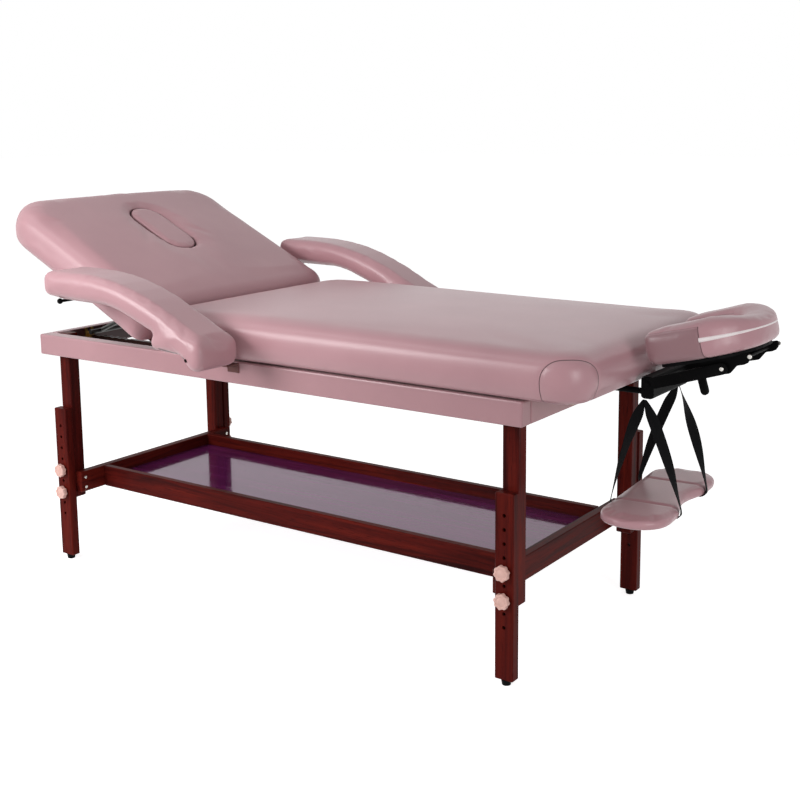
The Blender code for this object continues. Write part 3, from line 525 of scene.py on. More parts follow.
class Finishes:
    """The materials of the whole table, each made once."""

    def __init__(self) -> None:
        """Makes every material."""
        vinyl, wood = Vinyl(), Mahogany()
        # The shelf panel's purple colours and its purple reflection tint are painted reflection, standing
        # for what its glossy face reflects.
        panel = Mahogany((0.080, 0.009, 0.060), (0.130, 0.016, 0.098), (0.175, 0.026, 0.130), varnish=0.0,
                         shine=0.52, sheen=(1.0, 0.60, 0.96), polish=(0.05, 0.10))
        self.vinyl = vinyl.material("pink_vinyl")
        # The arms' vinyl has a painted shade line along the gap under each arm's foot.
        self.arm_vinyl = vinyl.material("pink_vinyl_arms", PaddedArm.painted_gap_shade)
        # The apron's vinyl is a darker copy of the pink vinyl: painted shade on the rails under the cushion.
        self.shaded_apron_vinyl = Vinyl((0.430, 0.232, 0.254), (0.382, 0.203, 0.225)).material(
            "pink_vinyl_apron", shade_and_dark_ends=Apron.painted_inner_shade)
        # The back's vinyl has painted shade in the groove round the breath plug.
        self.back_vinyl = Vinyl(roughness=(0.35, 0.45)).material("pink_vinyl_back", LiftBack.painted_groove_shade)
        self.corner_vinyl = vinyl.material("pink_vinyl_corner_caps", MainTop.cap_lines)
        self.cradle_vinyl = Vinyl(inside=(0.270, 0.145, 0.160)).material(
            "pink_vinyl_face_rest", FaceCradle.panel_lines, FaceCradle.end_panels)
        self.wood = {grain: wood.material("mahogany_" + grain.name.lower(), grain) for grain in Grain}
        self.panel = panel.material("mahogany_shelf_panel", Grain.ALONG_X)
        self.ply = Ply().material("bare_plywood")
        self.steel = Metal((0.085, 0.085, 0.082), (0.060, 0.060, 0.058), (0.30, 0.44)).material(
            "drawn_steel")
        self.rack = Metal((0.34, 0.20, 0.06), (0.22, 0.12, 0.035), (0.30, 0.48)).material(
            "brass_plated_rack_end", PropGear.dark_bar)
        self.zinc = Metal((0.72, 0.70, 0.66), (0.55, 0.53, 0.50), (0.18, 0.32)).material("zinc_bolt")
        paint = {"metallic": 0.0, "texture": 420.0, "relief": 0.0001}
        self.black = Metal((0.0022, 0.0022, 0.0024), (0.0042, 0.0042, 0.0045), (0.42, 0.58),
                           shine=0.035, **paint).material("black_enamel")
        # The brackets' rose-brown colour is painted shadow, so that the flange beside each arm's foot blends
        # with the brown shade there.
        self.bracket = Metal((0.150, 0.070, 0.066), (0.120, 0.056, 0.052), (0.42, 0.58),
                             shine=0.10, **paint).material("rose_brown_enamel")
        self.black_plastic = Plastic((0.0030, 0.0030, 0.0033), (0.0055, 0.0055, 0.0060), (0.46, 0.60),
                                     0.035).material("black_plastic")
        self.knob = Plastic((0.80, 0.50, 0.44), (0.73, 0.44, 0.38), (0.30, 0.42)).material("pink_knob")
        self.tape = Plastic((0.90, 0.82, 0.82), (0.84, 0.74, 0.75), (0.20, 0.32)).material("pale_piping")
        self.webbing = Webbing().material("black_webbing")


# padding


@dataclass(frozen=True)
class Stuffing:
    """How a pad is filled: its skin's cells, how far it is drawn in first, and how far it may swell."""

    cell: float
    rounds: int
    shrink: float
    swell: float
    pressure: float = 4.0
    fill: float = 0.9
    frames: int = 20


def pad_from(node: str, name: str, stuffing: Stuffing, held: Callable[[Vector], bool]) -> Piece:
    """Makes an upholstered pad in the space of a soft solid, swollen by air pressure under its skin.

    Args:
        node: The soft solid.
        name: The pad's name.
        stuffing: How it is filled.
        held: Says whether a point of the skin is fixed to what carries the pad.

    Returns:
        The pad.
    """
    pad = copied(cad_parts[node], name, Matrix.Identity(4))
    with editing(pad):
        bpy.ops.mesh.select_all(action="SELECT")
        bpy.ops.mesh.remove_doubles(threshold=0.00002)
    apply_modifier(pad, "REMESH", mode="VOXEL", voxel_size=stuffing.cell, use_smooth_shade=True)
    apply_modifier(pad, "SMOOTH", factor=0.5, iterations=stuffing.rounds)
    apply_modifier(pad, "DISPLACE", strength=-stuffing.shrink, mid_level=0.0)
    swell(pad, stuffing, held)
    apply_modifier(pad, "SMOOTH", factor=0.5, iterations=3)
    apply_modifier(pad, "SUBSURF", levels=1, render_levels=1)
    focus(pad)
    bpy.ops.object.shade_smooth()
    return pad


def swell(pad: Piece, stuffing: Stuffing, held: Callable[[Vector], bool]) -> None:
    """Blows up a pad's skin as cloth, and keeps each point within the swell that is allowed.

    Args:
        pad: The pad.
        stuffing: How it is filled.
        held: Says whether a point is fixed.
    """
    rest = [vert.co.copy() for vert in pad.data.vertices]
    group = pad.vertex_groups.new(name="held")
    group.add([index for index, point in enumerate(rest) if held(point)], 1.0, "REPLACE")
    focus(pad)
    bpy.ops.object.modifier_add(type="CLOTH")
    cloth = pad.modifiers[-1]
    cloth.settings.quality = 4
    cloth.settings.use_pressure = True
    cloth.settings.uniform_pressure_force = stuffing.pressure
    cloth.settings.vertex_group_mass = group.name
    cloth.settings.effector_weights.gravity = 0.0
    cloth.collision_settings.use_collision = False
    cloth.point_cache.frame_start = 1
    cloth.point_cache.frame_end = stuffing.frames
    for step in range(1, stuffing.frames + 1):
        bpy.context.scene.frame_set(step)
    bpy.ops.object.modifier_apply(modifier=cloth.name)
    bpy.context.scene.frame_set(1)
    furthest = 0.0
    for vert, start in zip(pad.data.vertices, rest):
        move = vert.co - start
        furthest = max(furthest, move.length)
        if move.length > stuffing.swell:
            vert.co = start + move.normalized() * stuffing.swell
    pad.vertex_groups.clear()
    LOG.info("%s swelled up to %.1f mm, kept to %.1f mm", pad.name, furthest * 1000, stuffing.swell * 1000)


def press(pad: Piece, depth: Callable[[Vector, Vector], float]) -> None:
    """Presses the skin of a pad in along its normals.

    Args:
        pad: The pad.
        depth: How far a point with a normal goes in.
    """
    mesh = pad.data
    moves = [(vert, vert.normal.copy(), depth(vert.co, vert.normal)) for vert in mesh.vertices]
    for vert, normal, far in moves:
        vert.co -= normal * far
    mesh.update()


def ridge(distance: float, width: float) -> float:
    """A soft hill of height 1 around distance 0."""
    return math.exp(-(distance / width) ** 2)


def clamped(value: float) -> float:
    """Keeps a value between 0 and 1."""
    return max(0.0, min(1.0, value))


# sub-assemblies


@dataclass
class Apron:
    """The vinyl-covered frame that carries the top, with the beams inside it."""

    rails: tuple[str, ...] = ("apron_rail_near", "apron_rail_far", "apron_rail_back", "apron_rail_head")
    beams: tuple[str, ...] = ("hinge_beam", "prop_beam")
    EDGE = 0.0004

    @classmethod
    def painted_inner_shade(cls, graph: Graph) -> Socket:
        """Marks the inner faces of the four rails, which are given painted shade."""
        far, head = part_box("apron_rail_far")[0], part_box("apron_rail_head")[0]
        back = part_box("apron_rail_back")[1]
        x, y, _ = graph.axes()
        edge = far.y + cls.EDGE
        between = graph.spread(graph.maths("ABSOLUTE", y), 1.0, 0.0, edge, edge + cls.EDGE)
        ahead = graph.spread(x, 0.0, 1.0, back.x - 2 * cls.EDGE, back.x - cls.EDGE)
        behind = graph.spread(x, 1.0, 0.0, head.x + cls.EDGE, head.x + 2 * cls.EDGE)
        return graph.times(between, ahead, behind)

    def build(self, finishes: Finishes) -> None:
        """Dresses the rails and the beams."""
        dress_solids(finishes.shaded_apron_vinyl, *self.rails)
        dress_solids(finishes.wood[Grain.ALONG_Y], *self.beams)


@dataclass
class MainTop:
    """The long fixed cushion with its sewn corner caps, and the board under it."""

    stuffing: Stuffing = Stuffing(cell=0.010, rounds=6, shrink=0.0005, swell=0.004)
    base_z: float = 0.6553
    seam_x: float = -0.4606
    held_height: float = 0.016
    held_length: float = 0.070
    CAP_X = 0.678
    CAP_Y = 0.287
    CAP_Z = 0.700
    CAP_RISE = 0.055
    CAP_POWER = 2.6
    QUARTER = math.pi / 4
    cap_reach: float = 0.05
    line_depth: float = 0.0016
    line_width: float = 0.20

    @classmethod
    def cap_lines(cls, graph: Graph) -> Socket:
        """Draws the seam of the two corner caps: up each side, and over along the rim of the corner."""
        x, y, z = graph.axes()
        along = graph.maths("SUBTRACT", x, cls.CAP_X)
        across = graph.maths("SUBTRACT", graph.maths("ABSOLUTE", y), cls.CAP_Y)
        turn = graph.apart(graph.maths("ARCTAN2", across, along), cls.QUARTER)
        share = graph.maths("DIVIDE", turn, cls.QUARTER)
        rise = graph.maths("MAXIMUM", graph.maths("SUBTRACT", z, cls.CAP_Z), 0.0)
        rise = graph.maths("DIVIDE", rise, cls.CAP_RISE)
        total = graph.maths("ADD", graph.maths("POWER", share, cls.CAP_POWER),
                            graph.maths("POWER", rise, cls.CAP_POWER))
        return graph.spread(graph.apart(total, 1.0), 1.0, 0.0, 0.015, 0.050)

    def cap_depth(self, point: Vector, normal: Vector) -> float:
        """How deep the seam of a corner cap draws the skin in at a point."""
        along, across = point.x - self.CAP_X, abs(point.y) - self.CAP_Y
        if min(along, across) < -self.cap_reach:
            return 0.0
        share = abs((math.atan2(across, along) - self.QUARTER) / self.QUARTER)
        rise = max(point.z - self.CAP_Z, 0.0) / self.CAP_RISE
        total = share ** self.CAP_POWER + rise ** self.CAP_POWER
        return self.line_depth * ridge(total - 1.0, self.line_width)

    def build(self, finishes: Finishes) -> None:
        """Makes the cushion."""
        def held(point: Vector) -> bool:
            return point.z < self.base_z + self.held_height or point.x < self.seam_x + self.held_length

        cushion = pad_from("main_cushion", "main_pad", self.stuffing, held)
        press(cushion, self.cap_depth)
        upholster(cushion, "frame", finishes.corner_vinyl, "main_cushion")
        dress_solids(finishes.ply, "deck_board")


@dataclass
class LiftBack:
    """The raised back: its cushion with the breath hole, the plug in it, and its board and hinge."""

    stuffing: Stuffing = Stuffing(cell=0.008, rounds=24, shrink=-0.0025, swell=0.004)
    plug_stuffing: Stuffing = Stuffing(cell=0.004, rounds=6, shrink=0.0010, swell=0.0015)
    base: float = -0.0917
    held_height: float = 0.016
    held_length: float = 0.060
    lip: float = 0.007
    widen: float = 0.020
    widen_reach: float = 0.05
    foot_reach: float = 0.080
    foot_pull: float = 0.75
    foot_margin: float = 0.002
    hole_gap: float = 0.0012
    plug_held: float = -0.02
    HINGE = (-0.46409, 0.0, 0.747)
    LEAN = math.radians(26.6)
    PLUG_CENTRE = -0.364
    PLUG_HALF_LENGTH = 0.118
    PLUG_HALF_WIDTH = 0.056

    def local(self, point: Vector) -> Vector:
        """A point seen from the hinge, with the back lying flat."""
        return Matrix.Rotation(-self.LEAN, 3, "Y") @ (point - Vector(self.HINGE))

    def from_plug(self, flat: Vector) -> float:
        """How far a point of the flat back lies outside the plug's outline."""
        reach = self.PLUG_HALF_LENGTH - self.PLUG_HALF_WIDTH
        along = max(abs(flat.x - self.PLUG_CENTRE) - reach, 0.0)
        return math.hypot(along, flat.y) - self.PLUG_HALF_WIDTH

    @classmethod
    def painted_groove_shade(cls, graph: Graph) -> Socket:
        """Paints shade into the narrow groove round the plug."""
        x, y, _ = graph.seen_from(cls.HINGE, -cls.LEAN)
        reach = cls.PLUG_HALF_LENGTH - cls.PLUG_HALF_WIDTH
        along = graph.maths("SUBTRACT", graph.apart(x, cls.PLUG_CENTRE), reach)
        along = graph.maths("MAXIMUM", along, 0.0)
        away = graph.maths("SQRT", graph.maths("ADD", graph.times(along, along), graph.times(y, y)))
        return graph.spread(graph.apart(away, cls.PLUG_HALF_WIDTH), 0.85, 0.0, 0.0006, 0.0042)

    def build(self, finishes: Finishes) -> None:
        """Makes the cushion and the plug, and dresses the board and the hinge."""
        def held(point: Vector) -> bool:
            flat = self.local(point)
            near_hole = self.from_plug(flat) < 2.5 * self.lip
            return flat.z < self.base + self.held_height or flat.x > -self.held_length or near_hole

        cushion = pad_from("back_cushion", "back_pad", self.stuffing, held)
        for vert in cushion.data.vertices:
            away = self.from_plug(self.local(vert.co)) / self.widen_reach
            vert.co.y *= 1.0 + self.widen * clamped(away)
        self.open_hole(cushion)
        self.square_foot(cushion)
        upholster(cushion, "lift_back", finishes.back_vinyl, "back_cushion")

        plug = pad_from("breath_plug", "breath_pad", self.plug_stuffing,
                        lambda point: self.local(point).z < self.plug_held)
        upholster(plug, "plug", finishes.back_vinyl, "breath_plug")
        dress_solids(finishes.wood[Grain.ALONG_Y], "back_board")
        dress_solids(finishes.steel, "hinge_leaf_fixed", "hinge_leaf_moving", "hinge_pin")

    def square_foot(self, cushion: Piece) -> None:
        """Draws the lower edge beside the hinge out to the corner that the board's end gives it."""
        solid = [self.local(vert.co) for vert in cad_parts["back_cushion"].data.vertices]
        corner = Vector((max(flat.x for flat in solid) - self.foot_margin, 0.0,
                         min(flat.z for flat in solid) + self.foot_margin))
        turn = Matrix.Rotation(self.LEAN, 3, "Y")
        for vert in cushion.data.vertices:
            flat = self.local(vert.co)
            toward = Vector((corner.x - flat.x, 0.0, corner.z - flat.z))
            share = max(0.0, 1 - toward.length / self.foot_reach)
            vert.co += turn @ (toward * self.foot_pull * share)
        cushion.data.update()

    def open_hole(self, cushion: Piece) -> None:
        """Keeps the wall of the breath hole clear of the plug."""
        turn = Matrix.Rotation(self.LEAN, 3, "Y")
        reach = self.PLUG_HALF_LENGTH - self.PLUG_HALF_WIDTH
        for vert in cushion.data.vertices:
            flat = self.local(vert.co)
            short = self.hole_gap - self.from_plug(flat)
            if short > 0:
                middle = max(-reach, min(reach, flat.x - self.PLUG_CENTRE)) + self.PLUG_CENTRE
                centre = Vector((middle, 0.0, flat.z))
                vert.co += turn @ ((flat - centre).normalized() * short)
        cushion.data.update()


@dataclass
class PropGear:
    """The tube that props the back up, its hanger, and the racks that its foot stands in."""

    PLATE = 0.012

    @classmethod
    def dark_bar(cls, graph: Graph) -> Socket:
        """Marks the bars of the racks, which are dark between their bright end plates."""
        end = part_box("prop_rack_near")[0].x + cls.PLATE
        return graph.spread(graph.axes()[0], 0.0, 1.0, end, end + cls.PLATE)

    def build(self, finishes: Finishes) -> None:
        """Dresses the gear."""
        dress_solids(finishes.steel, "back_prop", "prop_hanger")
        dress_solids(finishes.rack, *("prop_rack_" + side.label for side in Side))


@dataclass
class PaddedArm:
    """One padded arm that swings beside the back, its bracket, its bolt and its release handle."""

    side: Side
    stuffing: Stuffing = Stuffing(cell=0.005, rounds=6, shrink=-0.0015, swell=0.004)
    pivot: tuple[float, float] = (-0.19109, 0.722)
    held_radius: float = 0.020
    bolt: tuple[float, float] = (-0.1735, 0.689)
    bend_x: float = -0.500
    front_length: float = 0.150
    front_reach: float = 0.012
    LINE_START = (-0.2675, 0.7075)
    LINE_STOP = (-0.1790, 0.6925)

    @classmethod
    def painted_gap_shade(cls, graph: Graph) -> Socket:
        """Paints a shade line along the dark gap under the lower edge of the arm's foot, up to its bolt."""
        x, _, z = graph.axes()
        (first_x, first_z), (last_x, last_z) = cls.LINE_START, cls.LINE_STOP
        ahead = graph.maths("DIVIDE", graph.maths("SUBTRACT", x, first_x), last_x - first_x)
        level = graph.maths("ADD", graph.times(ahead, last_z - first_z), first_z)
        line = graph.spread(graph.apart(z, level), 0.9, 0.0, 0.0014, 0.0032)
        return graph.times(line, graph.spread(graph.apart(ahead, 0.5), 1.0, 0.0, 0.49, 0.51))

    def build(self, finishes: Finishes, bolt: Piece) -> None:
        """Makes the pad, sets its bolt, and dresses the bracket and the handle.

        Args:
            finishes: The table's materials.
            bolt: The model bolt.
        """
        def held(point: Vector) -> bool:
            return math.hypot(point.x - self.pivot[0], point.z - self.pivot[1]) < self.held_radius

        label = self.side.label
        pad = pad_from("arm_pad_" + label, "arm_cover_" + label, self.stuffing, held)
        for vert in pad.data.vertices:
            ahead = clamped((self.bend_x - vert.co.x) / self.front_length)
            vert.co.x -= self.front_reach * ahead
        upholster(pad, "arm_" + label, finishes.arm_vinyl, "arm_pad_" + label)
        reach = max(abs(corner.y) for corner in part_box("arm_pad_" + label))
        start = Vector((self.bolt[0], self.side.value * reach * 1.2, self.bolt[1]))
        found, spot, normal, _ = pad.ray_cast(start, (0.0, -self.side.value, 0.0))
        if found:
            place = Matrix.Translation(spot) @ normal.to_track_quat("Z", "Y").to_matrix().to_4x4()
            put(copied(bolt, "arm_bolt_" + label, place), "arm_" + label, finishes.black)
        dress_solids(finishes.bracket, "arm_bracket_" + label)
        dress_solids(finishes.black, "arm_release_" + label)


@dataclass
class StarKnob:
    """A flat star knob with eight lobes, a dished face and a bolt."""

    radius: float = 0.0187
    valley: float = 0.86
    lobes: int = 8
    thickness: float = 0.0125
    collar: float = 0.0032
    collar_radius: float = 0.0105
    bolt_radius: float = 0.0040
    bolt_length: float = 0.026
    rim_bevel: float = 0.0018
    dish: tuple[tuple[float, float], ...] = ((0.74, 0.0), (0.90, 0.0012), (0.62, 0.0), (0.80, -0.0008))

    def step(self, size: float, move: float) -> None:
        """Extrudes the selected face into one of another size, further along the knob's axis."""
        bpy.ops.mesh.extrude_region_move(TRANSFORM_OT_translate={"value": (0, move, 0)})
        bpy.ops.transform.resize(value=(size, 1, size), center_override=(0, 0, 0))

    def model(self) -> Piece:
        """Models the knob once, facing -Y with the back of its collar at the origin.

        Returns:
            The knob.
        """
        bpy.ops.object.select_all(action="DESELECT")
        steps = 8
        middle = -self.collar - self.thickness / 2
        bpy.ops.mesh.primitive_cylinder_add(
            vertices=self.lobes * steps, radius=self.radius, depth=self.thickness,
            location=(0, middle, 0), rotation=(math.pi / 2, 0, 0))
        knob = settle(bpy.context.active_object, "star_knob")
        front, back = middle - self.thickness / 2, middle + self.thickness / 2

        def phase(vert: bmesh.types.BMVert) -> int:
            step = round(math.atan2(vert.co.z, vert.co.x) / (2 * math.pi) * self.lobes * steps) % steps
            return min(step, steps - step)

        with editing(knob):
            for step in range(1, steps // 2 + 1):
                pull = 1 - (1 - self.valley) * (1 - math.cos(math.pi * step / (steps // 2))) / 2
                select(knob, "VERT", lambda vert: phase(vert) == step)
                bpy.ops.transform.resize(value=(pull, 1, pull), center_override=(0, 0, 0))
            select(knob, "FACE", lambda face: face.normal.y < -0.9)
            for size, move in self.dish:
                self.step(size, move)
            select(knob, "FACE", lambda face: face.normal.y > 0.9)
            self.step(self.collar_radius / self.radius, 0.0)
            self.step(1.0, -back)
            self.step(self.bolt_radius / self.collar_radius, 0.0)
            self.step(1.0, self.bolt_length)

            def rim(edge: bmesh.types.BMEdge) -> bool:
                ends = [vert.co for vert in edge.verts]
                outer = all(math.hypot(end.x, end.z) > self.radius * self.valley - 0.002 for end in ends)
                level = all(abs(end.y - front) < 1e-5 or abs(end.y - back) < 1e-5 for end in ends)
                return outer and level and abs(ends[0].y - ends[1].y) < 1e-5

            select(knob, "EDGE", rim)
            bpy.ops.mesh.bevel(offset=self.rim_bevel, segments=3, profile=0.5)
            bpy.ops.mesh.select_all(action="SELECT")
            bpy.ops.mesh.normals_make_consistent(inside=False)
        smooth(knob, 38)
        return knob


@dataclass
class Leg:
    """One leg: a fixed post, a sliding extension with a row of holes, two star knobs and a glide."""

    end: str
    side: Side
    knob_gap: float = 0.0003

    def build(self, finishes: Finishes, knob: Piece) -> None:
        """Dresses the boards and sets the knobs.

        Args:
            finishes: The table's materials.
            knob: The model knob.
        """
        name = self.end + "_" + self.side.label
        dress_solids(finishes.wood[Grain.ALONG_Z], "leg_post_" + name, "leg_extension_" + name)
        dress_solids(finishes.black_plastic, "leg_glide_" + name)
        turn = Matrix.Identity(4) if self.side is Side.NEAR else Matrix.Rotation(math.pi, 4, "Z")
        for order, twist in (("lower", 9.0), ("upper", -14.0)):
            label = "knob_%s_%s" % (order, name)
            low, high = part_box("leg_" + label)
            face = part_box("leg_extension_" + name)[0 if self.side is Side.NEAR else 1].y
            middle = (low + high) / 2
            place = Matrix.Translation((middle.x, face + self.side.value * self.knob_gap, middle.z))
            spin = Matrix.Rotation(math.radians(twist), 4, "Y")
            put(copied(knob, label, place @ turn @ spin), label, finishes.knob, ["leg_" + label])


@dataclass
class Bolt:
    """A small button-head bolt with a round socket."""

    radius: float = 0.0046
    height: float = 0.0024

    def model(self) -> Piece:
        """Models the bolt once, with its head towards +Z from the origin.

        Returns:
            The bolt head.
        """
        bpy.ops.object.select_all(action="DESELECT")
        bpy.ops.mesh.primitive_cylinder_add(vertices=24, radius=self.radius, depth=self.height,
                                            location=(0, 0, self.height / 2))
        bolt = settle(bpy.context.active_object, "button_bolt")
        with editing(bolt):
            select(bolt, "FACE", lambda face: face.normal.z > 0.9)
            bpy.ops.mesh.bevel(offset=self.height * 0.6, segments=3, profile=0.6)
            select(bolt, "FACE", lambda face: face.normal.z > 0.9 and len(face.verts) > 8)
            bpy.ops.mesh.inset(thickness=self.radius * 0.12, depth=0.0)
            bpy.ops.mesh.extrude_region_move(TRANSFORM_OT_translate={"value": (0, 0, -self.height * 0.6)})
        smooth(bolt, 35)
        return bolt


@dataclass
class Shelf:
    """The shelf between the legs: end rails with bolts, long rails and a glossy panel."""

    bolt_y: float = 0.292
    bolt_heights: tuple[float, float] = (0.241, 0.212)

    def build(self, finishes: Finishes, bolt: Piece) -> None:
        """Dresses the boards and sets the bolts on the inner faces of the end rails.

        Args:
            finishes: The table's materials.
            bolt: The model bolt.
        """
        for end, sign in (("back", 1), ("head", -1)):
            node = "shelf_rail_" + end
            dress_solids(finishes.wood[Grain.ALONG_Y], node)
            low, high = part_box(node)
            face = high.x if sign > 0 else low.x
            for side in Side:
                for order, z in zip(("upper", "lower"), self.bolt_heights):
                    place = Matrix.Translation((face, side.value * self.bolt_y, z)) @ Matrix.Rotation(
                        sign * math.pi / 2, 4, "Y")
                    head = copied(bolt, "shelf_bolt_%s_%s_%s" % (order, end, side.label), place)
                    put(head, "frame", finishes.zinc)
        dress_solids(finishes.wood[Grain.ALONG_X], *("shelf_rail_" + side.label for side in Side))
        dress_solids(finishes.panel, "shelf_panel")


@dataclass
class FaceCradle:
    """The face cradle: base on two dowels, lift bars, tilting head with its cushion, and cam lever."""

    stuffing: Stuffing = Stuffing(cell=0.004, rounds=8, shrink=0.0005, swell=0.003, fill=0.8)
    bolt_places: tuple[tuple[str, str, float, float, float], ...] = (
        ("pivot", "cradle_lift", 0.96391, 0.720, 0.1003),
        ("bar", "cradle_head", 1.0200, 0.7505, 0.0910),
    )
    TILT = math.radians(13.5)
    AXIS = (0.96391, 0.0, 0.720)
    SEAM_X = -0.0135
    FOOT = 0.0301
    THICKNESS = 0.075
    RIM = 0.099
    HALF_WIDTH = 0.160
    FRONT = 0.0871
    FRONT_RADIUS = 0.1376
    stripe_start: float = 0.0717
    stripe_front: float = 0.0705
    stripe_radius: float = 0.0034
    stripe_sink: float = 0.55
    stripe_count: int = 56
    held_height: float = 0.010
    seam_width: float = 0.0035
    upright_depth: float = 0.0011
    rim_depth: float = 0.0009
    crown: float = 0.007
    crown_x: float = 0.030
    crown_length: float = 0.075
    front_dip: float = 0.010
    roll_y: float = 0.118
    roll_width: float = 0.050

    @classmethod
    def local(cls, point: Vector) -> Vector:
        """A point seen from the tilt rod, in the plane of the face rest."""
        return Matrix.Rotation(cls.TILT, 3, "Y") @ (point - Vector(cls.AXIS))

    @classmethod
    def world(cls, point: Vector) -> Vector:
        """The place of a point that is given in the plane of the face rest."""
        return Matrix.Rotation(-cls.TILT, 3, "Y") @ point + Vector(cls.AXIS)

    @classmethod
    def places(cls, graph: Graph) -> tuple[Socket, Socket, Socket]:
        """The place along, across and above the face rest, in its own plane."""
        x, y, z = graph.seen_from(cls.AXIS, cls.TILT)
        return x, graph.maths("ABSOLUTE", y), z

    @classmethod
    def end_panels(cls, graph: Graph) -> Socket:
        """Marks the rear ends of the two side rolls, behind their upright seams, which are drawn darker."""
        x, y, z = cls.places(graph)
        behind = graph.spread(x, 1.0, 0.0, cls.SEAM_X - 0.0005, cls.SEAM_X)
        outer = graph.spread(y, 0.0, 1.0, 0.120, 0.140)
        below = graph.spread(z, 1.0, 0.0, cls.RIM - 0.004, cls.RIM)
        return graph.times(behind, outer, below)

    @classmethod
    def panel_lines(cls, graph: Graph) -> Socket:
        """Draws the upright seams of the outer panels, and the seam along the rim behind them."""
        x, y, z = cls.places(graph)
        outer = graph.spread(y, 0.0, 1.0, 0.110, 0.112)
        below = graph.spread(z, 1.0, 0.0, cls.RIM, cls.RIM + 0.001)
        upright = graph.spread(graph.apart(x, cls.SEAM_X), 1.0, 0.0, 0.0005, 0.0012)
        behind = graph.spread(x, 1.0, 0.0, cls.SEAM_X, cls.SEAM_X + 0.001)
        level = graph.spread(graph.apart(z, cls.RIM), 1.0, 0.0, 0.0004, 0.0011)
        faint = graph.times(level, behind, 0.35)
        return graph.maths("MAXIMUM", graph.times(upright, outer, below), faint)

    def seam_depth(self, point: Vector, normal: Vector) -> float:
        """How deep the sewn lines draw the skin in at a point."""
        flat = self.local(point)
        depth = 0.0
        if abs(flat.y) > 0.10 and flat.z < self.RIM + 0.006:
            depth = self.upright_depth * ridge(flat.x - self.SEAM_X, self.seam_width)
        if flat.x < self.SEAM_X:
            depth = max(depth, self.rim_depth * ridge(flat.z - self.RIM, self.seam_width))
        return depth

    def swell_rolls(self, cushion: Piece) -> None:
        """Crowns the two side rolls of the face rest, and lowers its front."""
        up = self.world(Vector((0.0, 0.0, 1.0))) - self.world(Vector((0.0, 0.0, 0.0)))
        for vert in cushion.data.vertices:
            flat = self.local(vert.co)
            height = clamped((flat.z - self.FOOT) / self.THICKNESS)
            ahead = clamped(flat.x / self.FRONT)
            rise = ridge(abs(flat.y) - self.roll_y, self.roll_width)
            rise *= ridge(flat.x - self.crown_x, self.crown_length)
            vert.co += up * height ** 2 * (self.crown * rise - self.front_dip * ahead)
        cushion.data.update()

    def outline(self, share: float) -> tuple[float, float]:
        """The outer edge of the face rest in its plane, from the near seam by the front to the far seam."""
        centre_x, centre_y = self.FRONT - self.FRONT_RADIUS, self.HALF_WIDTH - self.FRONT_RADIUS
        first = math.acos(max(-1.0, min(1.0, (self.SEAM_X - centre_x) / self.FRONT_RADIUS)))
        arc = first * self.FRONT_RADIUS
        total = 2 * arc + 2 * centre_y
        run = share * total
        if arc <= run < arc + 2 * centre_y:
            return self.FRONT, -centre_y + run - arc
        sign = -1 if run < arc else 1
        angle = (arc - run if run < arc else run - arc - 2 * centre_y) / self.FRONT_RADIUS
        across = centre_y + self.FRONT_RADIUS * math.sin(angle)
        return centre_x + self.FRONT_RADIUS * math.cos(angle), sign * across

    def piping(self, cushion: Piece) -> Piece:
        """Lays the pale piping on the outer side of the face rest, from seam to seam.

        Args:
            cushion: The finished cushion.

        Returns:
            The piping.
        """
        curve = bpy.data.curves.new("face_rest_piping", "CURVE")
        curve.dimensions = "3D"
        curve.bevel_depth = self.stripe_radius
        curve.bevel_resolution = 3
        curve.use_fill_caps = True
        spline = curve.splines.new("POLY")
        spline.points.add(self.stripe_count)
        for index, point in enumerate(spline.points):
            share = index / self.stripe_count
            x, y = self.outline(share)
            drop = min(share, 1 - share) * 2
            z = self.stripe_start + (self.stripe_front - self.stripe_start) * min(1.0, drop * 1.2)
            _, near, normal, _ = cushion.closest_point_on_mesh(self.world(Vector((x, y, z))))
            spot = near - normal * self.stripe_radius * self.stripe_sink
            point.co = (*spot, 1.0)
            point.radius = 1.55 - 0.75 * min(1.0, drop * 1.5)
        tube = bpy.data.objects.new("face_rest_piping", curve)
        bpy.context.scene.collection.objects.link(tube)
        focus(tube)
        bpy.ops.object.convert(target="MESH")
        tube = bpy.context.active_object
        smooth(tube, 60)
        return tube

    def build(self, finishes: Finishes, bolt: Piece) -> None:
        """Makes the cushion, its piping and the bolts, and dresses the frame.

        Args:
            finishes: The table's materials.
            bolt: The model bolt.
        """
        def held(point: Vector) -> bool:
            return self.local(point).z < self.FOOT + self.held_height

        cushion = pad_from("cradle_cushion", "face_rest", self.stuffing, held)
        self.swell_rolls(cushion)
        press(cushion, self.seam_depth)
        upholster(cushion, "cradle_head", finishes.cradle_vinyl, "cradle_cushion")
        put(self.piping(cushion), "cradle_head", finishes.tape)
        for name, body, x, z, y in self.bolt_places:
            for side in Side:
                turn = Matrix.Rotation(-side.value * math.pi / 2, 4, "X")
                place = Matrix.Translation((x, side.value * y, z)) @ turn
                head = copied(bolt, "cradle_bolt_%s_%s" % (name, side.label), place)
                put(head, body, finishes.zinc)
        dress_solids(finishes.black, "cradle_base", "cradle_lift_frame", "cradle_tilt_frame",
                     *("cradle_dowel_" + side.label for side in Side))
        dress_solids(finishes.black_plastic, "cradle_platform", "cradle_cam_lever")


